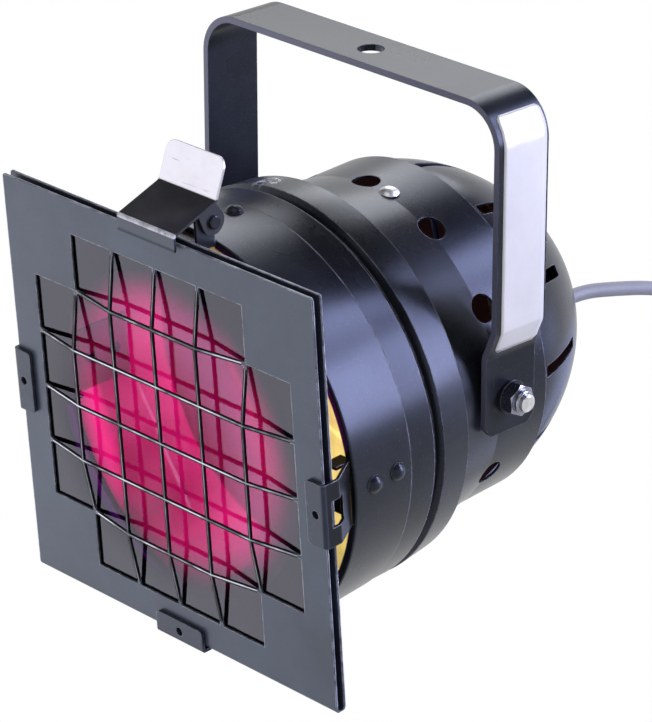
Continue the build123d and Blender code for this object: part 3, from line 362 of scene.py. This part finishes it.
def scuff_mask(nt, vector, can, place):
    """Small marks round one place on the can."""
    away = add(nt, "ShaderNodeVectorMath", {0: can, 1: place}, operation="DISTANCE")
    near = fade(nt, away.outputs["Value"], SCUFF_INNER, SCUFF_OUTER, 1, 0)
    return times(nt, near, ramp(nt, noise(nt, vector, 420, 2, 0.6), 0.50, 0.56))


def crown_highlight_mask(nt, vector, split):
    """Painted highlights and some paint loss: patchy lines along the middles of the colour frame's
    bars, fainter on the upright ones.
    """
    height = minus(nt, split[2], FRAME_RISE + HIGHLIGHT_RISE)
    level = below(nt, calc(nt, "PINGPONG", height, GRID_PITCH / 2), LEVEL_HIGHLIGHT)
    upright = below(nt, calc(nt, "PINGPONG", split[0], GRID_PITCH / 2), UPRIGHT_HIGHLIGHT)
    patchy = ramp(nt, noise(nt, vector, 45, 3, 0.6), 0.40, 0.58, 0.15, 1)
    return times(nt, largest(nt, level, times(nt, upright, 0.5)), patchy)


def enamel(name, colour=ENAMEL, rough=0.26, gloss=0.3, edge=0.0005, wear_and_highlight_share=0.6,
           bare_and_highlight=(0.34, 0.34, 0.36), highlit_sides=None, behind=None, scuff=None, bars=False,
           inner=None, glow=0.82, warm=(1.0, 0.72, 0.22), reach=(RIM_BACK, LENS_BACK)):
    """Baked black enamel: orange peel, fine dust, hairline scratches, and edges with the paint gone
    to the metal, lightened further as painted highlights.

    highlit_sides: colour of the faces that look forward or back, a painted highlight.
    behind: colour of what lies behind the colour frame's face, darker there as painted shade.
    scuff: place of a few bright marks.
    bars: dull bars that bow forward, with painted highlights along their crowns.
    inner: colour of the faces within reach that look inward, painted lamp light that also glows in
    the colour warm.
    """
    material, nt, shader = tree(name)
    feed(nt, shader, {"Specular IOR Level": gloss, "Specular Tint": COOL_GLOSS})
    coords, can, split = can_coords(nt)
    vector = coords.outputs["Object"]
    peel = noise(nt, vector, 900, 2, 0.45)
    cloud = noise(nt, vector, 22, 4, 0.55)
    speck = noise(nt, vector, 2600, 1, 0.3)
    hair = noise(nt, stretched(nt, vector, (40, 900, 60), (0.4, 0.2, 0.7)), 1.0, 2, 0.5)
    base = drift(nt, cloud, 0.35, 0.75, colour, shade(colour, 1.9, 0.004))
    base = mix(nt, times(nt, ramp(nt, speck, 0.70, 0.78), DUST_AMOUNT), base, DUST)
    base = mix(nt, times(nt, ramp(nt, hair, 0.725, 0.76), SCRATCH_AMOUNT), base, SCRATCH)
    if scuff:
        base = mix(nt, scuff_mask(nt, vector, can, scuff), base, SCUFF)
    # Painted shade: what lies behind the colour frame's face is darker than the front
    if behind:
        base = mix(nt, above(nt, split[1], HOLDER_ARMS), base, behind)
    smooth = rounded_edges(nt, edge)
    # Edges with the paint gone, lightened further as painted highlights
    wear_and_highlight = times(nt, edge_wear_and_highlight_mask(nt, vector, smooth), wear_and_highlight_share)
    if bars:
        bowed = below(nt, split[1], BAR_FRONT)
        base = mix(nt, bowed, base, BAR_BLACK)
        # Painted highlights along the bars' crowns
        base = mix(nt, times(nt, crown_highlight_mask(nt, vector, split), bowed), base, BAR_HIGHLIGHT)
        wear_and_highlight = times(nt, wear_and_highlight, minus(nt, 1, bowed))
        feed(nt, shader, {"Specular IOR Level": minus(nt, gloss, times(nt, bowed, gloss * 0.8))})
    base = mix(nt, wear_and_highlight, base, bare_and_highlight)
    # Painted highlight: faces that look forward or back take a lighter colour
    if highlit_sides:
        normal = add(nt, "ShaderNodeSeparateXYZ", {0: coords.outputs["Normal"]}).outputs
        base = mix(nt, above(nt, calc(nt, "ABSOLUTE", normal[1]), SIDE_LIMIT), base, highlit_sides)
    roughness = plus(nt, times(nt, cloud, 0.16), rough - 0.07)
    # Painted lamp light: inward faces within reach take a warm colour and glow
    if inner:
        within = times(nt, above(nt, split[1], reach[0]), below(nt, split[1], reach[1]))
        inside = times(nt, inward_mask(nt, coords, split), within)
        base = mix(nt, inside, base, inner)
        roughness = plus(nt, roughness, times(nt, inside, 0.12))
        feed(nt, shader, {
            "Emission Color": (*warm, 1),
            "Emission Strength": times(nt, lamp_light(nt, can, split), glow, inside),
        })
    feed(nt, shader, {
        "Base Color": base,
        "Roughness": roughness,
        "Normal": bump(nt, peel, 0.10, 0.00012, smooth),
    })
    return material


# Other finishes

def metal(name, colour, rough, grain=(600, 60, 600), stain=0.12):
    """Plated or brushed metal with a fine directional grain and a little tarnish."""
    material, nt, shader = tree(name)
    vector = object_coords(nt)
    lines = noise(nt, stretched(nt, vector, grain), 3, 3, 0.6)
    cloud = noise(nt, vector, 90, 4, 0.6)
    feed(nt, shader, {
        "Base Color": drift(nt, cloud, 0.35, 0.65, shade(colour, 1 - stain * 2.5), colour),
        "Roughness": plus(nt, times(nt, lines, 0.22), rough - 0.1),
        "Metallic": 1.0,
        "Normal": bump(nt, lines, 0.12, 0.00008, rounded_edges(nt, 0.0003)),
    })
    return material


def plastic(name, colour, rough, fine=1400, strength=0.15, variation=0.25):
    """Moulded plastic, rubber or ceramic: a fine skin texture and slight colour drift."""
    material, nt, shader = tree(name)
    vector = object_coords(nt)
    skin = noise(nt, vector, fine, 2, 0.5)
    cloud = noise(nt, vector, 45, 4, 0.6)
    feed(nt, shader, {
        "Base Color": drift(nt, cloud, 0.3, 0.7, shade(colour, 1 - variation), colour),
        "Roughness": plus(nt, times(nt, cloud, 0.2), rough - 0.1),
        "Normal": bump(nt, skin, strength, 0.0001, rounded_edges(nt, 0.0004)),
    })
    return material


def threaded(name, colour, axis, turns):
    """Plated metal with a fine thread bump along an axis."""
    material, nt, shader = tree(name)
    vector = object_coords(nt)
    thread = waves(nt, vector, axis, {"Scale": turns})
    cloud = noise(nt, vector, 120, 3, 0.6)
    feed(nt, shader, {
        "Base Color": drift(nt, cloud, 0.3, 0.7, shade(colour, 0.6), colour),
        "Roughness": plus(nt, times(nt, cloud, 0.2), 0.15),
        "Metallic": 1.0,
        "Normal": bump(nt, thread, 0.5, 0.0004),
    })
    return material


def woven(name, colour):
    """Hook-and-loop strap: crossed threads and fuzz."""
    material, nt, shader = tree(name)
    vector = object_coords(nt)
    fuzz = noise(nt, vector, 1800, 3, 0.7)
    weave = waves(nt, vector, "DIAGONAL", {"Scale": 500, "Distortion": 1.5})
    feed(nt, shader, {
        "Base Color": drift(nt, fuzz, 0.35, 0.7, colour, shade(colour, 2.4, 0.01)),
        "Roughness": 0.85,
        "Sheen Weight": 0.3,
        "Normal": bump(nt, plus(nt, fuzz, times(nt, weave, 0.6)), 0.6, 0.0005),
    })
    return material


def foil():
    """Blank brushed silver foil with a soft sheen and faint ripples."""
    material, nt, shader = tree("silver_foil")
    vector = object_coords(nt)
    lines = noise(nt, stretched(nt, vector, (20, 900, 14)), 2, 3, 0.6)
    cloud = noise(nt, vector, 35, 4, 0.55)
    feed(nt, shader, {
        "Base Color": drift(nt, cloud, 0.3, 0.7, (0.52, 0.51, 0.50), (0.60, 0.59, 0.57)),
        "Roughness": plus(nt, times(nt, lines, 0.22), 0.34),
        "Metallic": 0.4,
        "Normal": bump(nt, plus(nt, cloud, times(nt, lines, 0.15)), 0.18, 0.0006),
    })
    return material


def catch_finish():
    """Black plate and ears, the front lip lighter as painted sheen, a painted highlight along its
    bend, and the scuffed bright thumb tab.
    """
    material, nt, shader = tree("catch_black_and_bright")
    coords, _, split = can_coords(nt)
    vector = coords.outputs["Object"]
    tab = above(nt, split[2], TAB_BOTTOM)
    cloud = noise(nt, vector, 60, 4, 0.6)
    hair = noise(nt, stretched(nt, vector, (60, 500, 900), (0.3, 0.5, 0.2)), 1.0, 2, 0.5)
    at_front = below(nt, split[1], LIP_FRONT)
    patchy = ramp(nt, noise(nt, vector, 300, 2, 0.6), 0.36, 0.58, 0.55, 1)
    # Painted highlight along the front lip's bend, in patches
    bend_highlight = times(nt, at_front, above(nt, split[2], LIP_BEND), patchy)
    black = drift(nt, cloud, 0.35, 0.75, (0.030, 0.030, 0.034), (0.050, 0.050, 0.056))
    # Painted sheen: the front lip takes the lighter blue-grey of the frame's plates
    black = mix(nt, at_front, black, (0.034, 0.040, 0.054))
    black = mix(nt, bend_highlight, black, (0.66, 0.65, 0.70))
    bright = drift(nt, cloud, 0.3, 0.7, (0.46, 0.44, 0.47), (0.55, 0.53, 0.57))
    bright = drift(nt, hair, 0.68, 0.74, bright, (0.33, 0.32, 0.34))
    feed(nt, shader, {
        "Base Color": mix(nt, tab, black, bright),
        "Specular IOR Level": 0.3,
        "Specular Tint": (0.76, 0.82, 1.0, 1),
        "Metallic": times(nt, tab, 0.7),
        "Roughness": plus(nt, times(nt, cloud, 0.2), 0.22),
        "Normal": bump(nt, hair, 0.06, 0.0001, rounded_edges(nt, 0.0003)),
    })
    return material


def spot(nt, split, x, z, inner, outer):
    """0 within the inner distance of a point of the frame's plane, 1 beyond the outer one."""
    across, height = minus(nt, split[0], x), minus(nt, split[2], z)
    square = plus(nt, times(nt, across, across), times(nt, height, height))
    return fade(nt, calc(nt, "SQRT", square), inner, outer)


def streak(nt, split, wobble, start, end, width):
    """1 on a slightly wavy line between two points of the frame's plane, fading beside it."""
    (x0, z0), (x1, z1) = start, end
    length = math.hypot(x1 - x0, z1 - z0)
    along_x, along_z = (x1 - x0) / length, (z1 - z0) / length
    dx, dz = minus(nt, split[0], x0), minus(nt, split[2], z0)
    along = plus(nt, times(nt, dx, along_x), times(nt, dz, along_z))
    beside = minus(nt, times(nt, dz, along_x), times(nt, dx, along_z))
    bend = times(nt, minus(nt, wobble, 0.5), width * STREAK_WOBBLE)
    line = fade(nt, calc(nt, "ABSOLUTE", plus(nt, beside, bend)), 0, width, 1, 0)
    from_middle = calc(nt, "ABSOLUTE", minus(nt, along, length / 2))
    return times(nt, line, fade(nt, from_middle, length * 0.3, length * 0.5, 1, 0))


def gel_film():
    """Clear magenta film, darkened towards its border as painted shade. A veil, patches and a
    streak raise the IOR as painted reflection, so that there the film mirrors more of the room.
    """
    material, nt, shader = tree("magenta_film")
    coords, _, split = can_coords(nt)
    vector = coords.outputs["Object"]
    cloud = noise(nt, vector, 9, 3, 0.5)
    wavy = noise(nt, vector, 26, 2, 0.5)
    clear = mix(nt, cloud, (0.66, 0.006, 0.52), (0.82, 0.014, 0.70))
    patches = times(nt, ramp(nt, wavy, 0.40, 0.66), 0.30)
    line = times(nt, streak(nt, split, cloud, *FILM_STREAK), 0.85)
    # Painted reflection: where these are high, the film's IOR rises
    mirror = largest(nt, spot(nt, split, *FILM_VEIL), patches, line)
    feed(nt, shader, {
        # Painted shade: the clear magenta turns near black beyond the lit circle
        "Base Color": mix(nt, spot(nt, split, *FILM_CLEAR), clear, (0.025, 0.003, 0.05)),
        "Roughness": 0.07,
        "Transmission Weight": 1.0,
        "Specular Tint": (0.84, 0.83, 1.0, 1),
        "IOR": plus(nt, times(nt, mirror, 0.28), 1.10),
        "Normal": bump(nt, plus(nt, cloud, times(nt, wavy, 0.2)), 0.2, 0.004),
    })
    return material


def lamp_lens():
    """Lit front glass: prisms, an orange middle, brightest low on the right, with streaks."""
    material, nt, shader = tree("lamp_lens_lit")
    coords, can, split = can_coords(nt)
    cells = add(nt, "ShaderNodeTexVoronoi", {
        "Vector": stretched(nt, can, (1.0, 0.2, 0.55)), "Scale": 150, "Randomness": 0.15,
    }, feature="F1").outputs["Distance"]
    cloud = noise(nt, coords.outputs["Object"], 24, 3, 0.55)
    level = minus(nt, 0.98, times(nt, spot(nt, split, *LENS_BRIGHT), 0.74))
    level = times(nt, level, ramp(nt, cells, 0.0, 0.9, 1.0, 0.72),
                  ramp(nt, cloud, 0.30, 0.62, 0.76, 1.02))
    for line in LENS_STREAKS:
        level = plus(nt, level, times(nt, streak(nt, split, cloud, *line), 0.40))
    core = spot(nt, split, *LENS_CORE)
    feed(nt, shader, {
        "Emission Color": mix(nt, core, (1.0, 0.55, 0.14), (1.0, 0.75, 0.21)),
        "Emission Strength": level,
        "Base Color": (0.12, 0.10, 0.06, 1),
        "Specular IOR Level": 0.2,
        "Roughness": 0.35,
        "Normal": bump(nt, cells, 0.6, 0.0012),
    })
    return material


BLACK = enamel("black_enamel")
# Edges with the paint gone, lightened far as painted highlights on rivets, bracket and pin
WORN_AND_HIGHLIT_BLACK = enamel("worn_and_highlit_enamel", edge=0.0006, wear_and_highlight_share=0.9, bare_and_highlight=(0.46, 0.47, 0.54))
# Faces of the yoke that look forward or back are lighter: painted highlight
YOKE_BLACK = enamel("yoke_enamel", colour=(0.007, 0.008, 0.010), rough=0.28, gloss=0.19, wear_and_highlight_share=0.8,
                    highlit_sides=(0.15, 0.15, 0.20))
# Lighter blue-grey base as painted sheen; near white edges and bar crowns as painted highlights
PLATE_BLACK = enamel("frame_enamel", colour=(0.032, 0.038, 0.052), rough=0.32, edge=0.0009,
                     wear_and_highlight_share=1.0, bare_and_highlight=(0.86, 0.86, 0.92), bars=True)
# Painted lamp light: a dark red glow on the rear body's inside
BODY_BLACK = enamel("body_enamel", gloss=0.25, edge=0.0008, bare_and_highlight=(0.44, 0.45, 0.54),
                    inner=(0.035, 0.013, 0.013), glow=0.010, warm=(0.60, 0.15, 0.13),
                    reach=(BODY_FRONT, BODY_BACK))
# Painted lamp light: a yellow base and glow on the barrel's inside
BARREL_BLACK = enamel("barrel_enamel", gloss=0.27, edge=0.0009, wear_and_highlight_share=0.8, bare_and_highlight=(0.46, 0.47, 0.56),
                      scuff=SCUFF_PLACE, inner=(0.30, 0.24, 0.05), glow=1.0,
                      warm=(1.0, 0.72, 0.29))
# Front painted lighter as sheen, arms behind darker as painted shade, inside yellow and glowing as
# painted lamp light
HOLDER_BLACK = enamel("holder_enamel", colour=(0.030, 0.034, 0.046), gloss=0.20, edge=0.0007,
                      wear_and_highlight_share=0.9, bare_and_highlight=(0.50, 0.51, 0.58), behind=(0.007, 0.0075, 0.010),
                      inner=(0.16, 0.13, 0.04), glow=0.30)
ZINC = metal("zinc_plate", (0.28, 0.29, 0.35), rough=0.24)
BRIGHT = metal("bright_plate", (0.84, 0.84, 0.85), rough=0.38)
SPRING = metal("spring_steel", (0.42, 0.41, 0.40), rough=0.35)
CATCH = catch_finish()
BOLT = threaded("bolt_thread", (0.74, 0.74, 0.76), "X", 130)
FILM = gel_film()
LENS = lamp_lens()
MIRROR = metal("reflector_aluminium", (0.90, 0.89, 0.86), rough=0.14, grain=(40, 40, 40),
               stain=0.03)
TUNGSTEN = metal("tungsten_wire", (0.85, 0.70, 0.45), rough=0.35)
CERAMIC = plastic("white_ceramic", (0.80, 0.78, 0.72), rough=0.55)
BLOCK = plastic("white_moulding", (0.84, 0.84, 0.82), rough=0.4)
BROWN = plastic("brown_sleeve", (0.20, 0.09, 0.04), rough=0.5)
BLUE = plastic("blue_sleeve", (0.05, 0.12, 0.38), rough=0.5)
NYLON = plastic("black_nylon", (0.030, 0.030, 0.033), rough=0.42)
SHEATH = plastic("grey_sheath", (0.195, 0.195, 0.21), rough=0.50, fine=900, strength=0.2,
                 variation=0.15)
RUBBER = plastic("black_rubber", (0.022, 0.022, 0.024), rough=0.55)
PIN = metal("nickel_pin", (0.78, 0.74, 0.66), rough=0.22)
STRAP = woven("black_strap", (0.012, 0.012, 0.013))
FOIL = foil()

FINISH = {
    "yoke": YOKE_BLACK, "front_barrel": BARREL_BLACK, "rear_body": BODY_BLACK,
    "rear_cap": BODY_BLACK, "gel_frame": PLATE_BLACK, "gel_sheet": FILM,
    "frame_holder_right": HOLDER_BLACK, "frame_holder_left": HOLDER_BLACK,
    "frame_holder_bottom": HOLDER_BLACK, "holder_rivets": WORN_AND_HIGHLIT_BLACK,
    "catch_bracket": WORN_AND_HIGHLIT_BLACK, "catch_pin": WORN_AND_HIGHLIT_BLACK, "catch_lever": CATCH,
    "catch_spring": SPRING, "pivot_spacers": BLACK, "pivot_washers": BLACK,
    "pivot_bolts": BOLT, "pivot_nuts": ZINC, "lamp_reflector": MIRROR, "lamp_lens": LENS,
    "lamp_prongs": ZINC, "lamp_filament": TUNGSTEN, "lamp_ring": SPRING,
    "lampholder": CERAMIC, "terminal_plate": ZINC, "terminal_block": BLOCK,
    "terminal_screw": BRIGHT, "lead_live": BROWN, "lead_neutral": BROWN,
    "core_live": BROWN, "core_neutral": BLUE, "cable_gland": NYLON, "gland_nut": NYLON,
    "mains_cord": SHEATH, "cord_coil": SHEATH, "coil_tie": STRAP, "plug_body": RUBBER,
    "plug_pins": PIN,
}
for name, obj in nodes.items():
    for material_slot in obj.material_slots:
        material_slot.material = FINISH[name]
cord_curve.materials.append(SHEATH)


def mesh_piece(name, vertices, faces, body, material):
    """Smooth-shaded mesh that rides on a body, with its normals turned outward."""
    mesh = bpy.data.meshes.new(name)
    mesh.from_pydata(vertices, [], faces)
    mesh.validate()
    work = bmesh.new()
    work.from_mesh(mesh)
    bmesh.ops.recalc_face_normals(work, faces=work.faces)
    work.to_mesh(mesh)
    work.free()
    for polygon in mesh.polygons:
        polygon.use_smooth = True
    mesh.materials.append(material)
    obj = link(bpy.data.objects.new(name, mesh))
    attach(obj, body)
    return obj


# Blank silver label on the yoke's right arm, over the end of its bend and down onto its joggle
BEND_X, BEND_Z = 0.0725, -0.02  # middle of the arm's bend
BEND_RADIUS = 0.02  # outer face
JOGGLE_Z = -0.1025
JOGGLE_RADIUS = 0.005
JOGGLE_SLOPE = math.atan2(0.0055, 0.0135)
LABEL_WRAP = math.radians(46)  # part of the bend that the label covers
LABEL_FOOT = 0.0105  # part of the joggle's slope that it covers
LABEL_FRONT, LABEL_BACK = -0.0122, 0.0138
LABEL_TOP, LABEL_UNDER = 0.00022, 0.00004  # its two faces above the steel
LABEL_CORNER = 0.0022
LABEL_COLUMNS = 12
BEND_STEPS, STRAIGHT_STEPS, TURN_STEPS, FOOT_STEPS = 12, 10, 4, 5


def arm_face(offset):
    """Line down the arm's outer face in x and z, from the bend to the joggle's slope."""
    line = []
    for k in range(BEND_STEPS + 1):
        angle = LABEL_WRAP * (1 - k / BEND_STEPS)
        line.append((BEND_X + (BEND_RADIUS + offset) * math.cos(angle),
                     BEND_Z + (BEND_RADIUS + offset) * math.sin(angle)))
    face_x = BEND_X + BEND_RADIUS + offset
    turn_z = JOGGLE_Z + JOGGLE_RADIUS * math.tan(JOGGLE_SLOPE / 2)
    turn_radius = JOGGLE_RADIUS + offset
    for k in range(1, STRAIGHT_STEPS + 1):
        line.append((face_x, BEND_Z + (turn_z - BEND_Z) * k / STRAIGHT_STEPS))
    for k in range(1, TURN_STEPS + 1):
        turn = JOGGLE_SLOPE * k / TURN_STEPS
        line.append((face_x - turn_radius * (1 - math.cos(turn)),
                     turn_z - turn_radius * math.sin(turn)))
    last_x, last_z = line[-1]
    for k in range(1, FOOT_STEPS + 1):
        reach = LABEL_FOOT * k / FOOT_STEPS
        line.append((last_x - reach * math.sin(JOGGLE_SLOPE),
                     last_z - reach * math.cos(JOGGLE_SLOPE)))
    return line


def label_columns(line):
    """Points across the label at each point of a line, drawn in at the four round corners."""
    points = []
    for x, z in line:
        from_end = min(abs(z - line[0][1]), abs(z - line[-1][1]))
        pull = 0
        if from_end < LABEL_CORNER:
            pull = LABEL_CORNER - math.sqrt(LABEL_CORNER ** 2 - (LABEL_CORNER - from_end) ** 2)
        width = LABEL_BACK - LABEL_FRONT - 2 * pull
        for j in range(LABEL_COLUMNS + 1):
            points.append((x, LABEL_FRONT + pull + width * j / LABEL_COLUMNS, z))
    return points


def make_label():
    """Thin closed sheet: two faces and the four narrow edges between them."""
    top = arm_face(LABEL_TOP)
    row = LABEL_COLUMNS + 1
    last_row = len(top) - 1
    under = len(top) * row
    faces = []
    for base in (0, under):
        for i in range(last_row):
            for j in range(LABEL_COLUMNS):
                a = base + i * row + j
                faces.append((a, a + 1, a + row + 1, a + row))
    for i in range(last_row):
        for j in (0, LABEL_COLUMNS):
            a = i * row + j
            faces.append((a, a + row, a + row + under, a + under))
    for j in range(LABEL_COLUMNS):
        for i in (0, last_row):
            a = i * row + j
            faces.append((a, a + 1, a + 1 + under, a + under))
    vertices = label_columns(top) + label_columns(arm_face(LABEL_UNDER))
    mesh_piece("arm_label", vertices, faces, "yoke", FOIL)


make_label()


# Hook-and-loop tie round the coil
TIE_ANGLE = math.radians(38)  # its place on the coil
TIE_ROOM = (0.0024, 0.0012)  # beyond the turns, across and along the coil's axis
TIE_CORNER = 0.0035
TIE_CORNER_STEPS = 6
TIE_INNER, TIE_OUTER = 0.0001, 0.00115  # its two faces outside that outline
TIE_HALF_WIDTH = 0.0068
TIE_STATIONS = (-1, -0.93, -0.5, 0, 0.5, 0.93, 1)  # in half widths
TIE_PINCH = 0.12 * TIE_OUTER  # how much thinner each face is at the strap's edges


def tie_outline(span, depth, grow):
    """Rounded rectangle whose corners have the radius TIE_CORNER, all grown outward."""
    reach = TIE_CORNER + grow
    line = []
    for quarter, (sx, sy) in enumerate(((1, 1), (-1, 1), (-1, -1), (1, -1))):
        x, y = sx * (span / 2 - TIE_CORNER), sy * (depth / 2 - TIE_CORNER)
        for j in range(TIE_CORNER_STEPS + 1):
            turn = math.pi / 2 * (quarter + j / TIE_CORNER_STEPS)
            line.append((x + reach * math.cos(turn), y + reach * math.sin(turn)))
    return line


def make_tie():
    """Strap bent round all the turns at one place of the coil, its edges slightly thinner."""
    spread = max(COIL_INSETS) * COIL_PITCH / 2
    span = spread + 2 * CORD_RADIUS + TIE_ROOM[0]
    depth = COIL_PITCH + 2 * CORD_RADIUS + TIE_ROOM[1]
    radial = Vector((0, math.cos(TIE_ANGLE), math.sin(TIE_ANGLE)))
    along = Vector((0, -math.sin(TIE_ANGLE), math.cos(TIE_ANGLE)))
    side = Vector((1, 0, 0))
    centre = Vector((COIL_PITCH / 2, *COIL_CENTRE)) + radial * (COIL_RADIUS - spread / 2)
    outlines = ((tie_outline(span, depth, TIE_INNER), 1), (tie_outline(span, depth, TIE_OUTER), -1))
    vertices, faces = [], []
    for station in TIE_STATIONS:
        pinch = TIE_PINCH if abs(station) == 1 else 0
        for line, sign in outlines:
            for x, y in line:
                factor = 1 + sign * pinch / math.hypot(x, y)
                vertices.append(centre + radial * x * factor + side * y * factor
                                + along * TIE_HALF_WIDTH * station)
    count = len(outlines[0][0])
    ring = 2 * count
    last = len(TIE_STATIONS) - 1
    for k in range(count):
        ahead = (k + 1) % count
        for i in range(last):
            for layer in (0, count):
                a, b = i * ring + layer + k, i * ring + layer + ahead
                faces.append((a, b, b + ring, a + ring))
        for i in (0, last):
            a, b = i * ring + k, i * ring + ahead
            faces.append((a, b, b + count, a + count))
    piece = mesh_piece("tie_strap", vertices, faces, "can", STRAP)
    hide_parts("coil_tie")
    return piece


tie = make_tie()


# Background and light

def white_when_seen(nt, lit, white):
    """The white shader for the camera, gloss and glass, and the lit one for all other light."""
    rays = add(nt, "ShaderNodeLightPath").outputs
    seen = largest(nt, rays["Is Camera Ray"], rays["Is Transmission Ray"], rays["Is Glossy Ray"])
    values = {"Fac": seen, 1: lit.outputs[0], 2: white.outputs[0]}
    return add(nt, "ShaderNodeMixShader", values).outputs[0]


world = bpy.data.worlds.new("studio")
scene.world = world
world.use_nodes = True
wt = world.node_tree
wt.nodes.clear()
ambient = add(wt, "ShaderNodeBackground", {"Color": (0.80, 0.84, 0.92, 1), "Strength": 0.30})
backdrop = add(wt, "ShaderNodeBackground", {"Color": (1, 1, 1, 1), "Strength": 1.0})
add(wt, "ShaderNodeOutputWorld", {"Surface": white_when_seen(wt, ambient, backdrop)})
scene.view_settings.view_transform = "Standard"

MIDDLE = Vector((0, 0, -0.14))  # of the lamp, where the soft boxes are aimed
# Name, azimuth (0 the front, 90 the right, 180 the back), angle up, distance, width, height,
# radiance and colour
PANELS = (
    ("overhead", 20, 70, 1.2, 0.9, 0.9, 1.3, (1.0, 0.99, 0.97)),
    ("front_left", -50, -18, 1.5, 2.4, 1.9, 1.75, (0.92, 0.94, 1.0)),
    ("front_right", 12, -6, 1.5, 0.9, 0.9, 1.2, (0.86, 0.90, 1.0)),
    ("rear_left", -141, 38, 1.5, 0.76, 0.62, 5.6, (0.97, 0.98, 1.0)),
    ("right_rear", 131, 16, 1.4, 0.37, 0.76, 27.0, (0.66, 0.68, 1.0)),
    ("right_rear_high", 144, 40, 1.4, 0.38, 0.42, 23.0, (0.66, 0.69, 1.0)),
    ("right_rear_soft", 152, -8, 1.5, 0.7, 0.35, 1.8, (0.45, 0.55, 1.0)),
    ("rear_low", -176, -32, 1.5, 0.8, 0.70, 0.8, (0.15, 0.30, 1.0)),
)


def panel(name, azimuth, elevation, distance, width, height, radiance, colour):
    """Soft box that the camera doesn't see."""
    a, e = math.radians(azimuth), math.radians(elevation)
    direction = Vector((math.sin(a) * math.cos(e), -math.cos(a) * math.cos(e), math.sin(e)))
    place = MIDDLE + direction * distance
    data = bpy.data.lights.new(name, "AREA")
    data.shape = "RECTANGLE"
    data.size, data.size_y = width, height
    data.energy = radiance * math.pi * width * height
    data.color = colour
    lamp = link(bpy.data.objects.new(name, data))
    lamp.location = place
    lamp.rotation_euler = (MIDDLE - place).to_track_quat("-Z", "Y").to_euler()
    lamp.visible_camera = False


for values in PANELS:
    panel(*values)


FLOOR_HEIGHT, FLOOR_RADIUS = -1.1, 6.0
CEILING_HEIGHT, CEILING_RADIUS = 1.15, 2.3
DISC_CORNERS = 36


def stage_disc(name, height, radius, material):
    """Round sheet of the studio, level, centred on the object."""
    turns = [2 * math.pi * k / DISC_CORNERS for k in range(DISC_CORNERS)]
    corners = [(radius * math.cos(a), radius * math.sin(a), height) for a in turns]
    mesh = bpy.data.meshes.new(name)
    mesh.from_pydata(corners, [], [tuple(range(DISC_CORNERS))])
    mesh.materials.append(material)
    disc = link(bpy.data.objects.new(name, mesh))
    return disc


def pale_floor():
    """Pale floor that the camera, gloss and glass see as the white background."""
    material, nt, shader = tree("pale_floor")
    feed(nt, shader, {"Base Color": (0.78, 0.78, 0.78, 1), "Roughness": 0.8})
    surface = white_when_seen(nt, shader, add(nt, "ShaderNodeEmission"))
    feed(nt, nt.nodes["Material Output"], {"Surface": surface})
    return material


def dark_ceiling():
    """The studio's dark ceiling, which keeps black enamel that faces up black."""
    material, nt, shader = tree("dark_ceiling")
    feed(nt, shader, {"Base Color": (0.02, 0.02, 0.024, 1), "Roughness": 0.9})
    return material


stage_disc("floor", FLOOR_HEIGHT, FLOOR_RADIUS, pale_floor())
ceiling = stage_disc("ceiling", CEILING_HEIGHT, CEILING_RADIUS, dark_ceiling())
ceiling.visible_camera = False

bpy.context.view_layer.update()
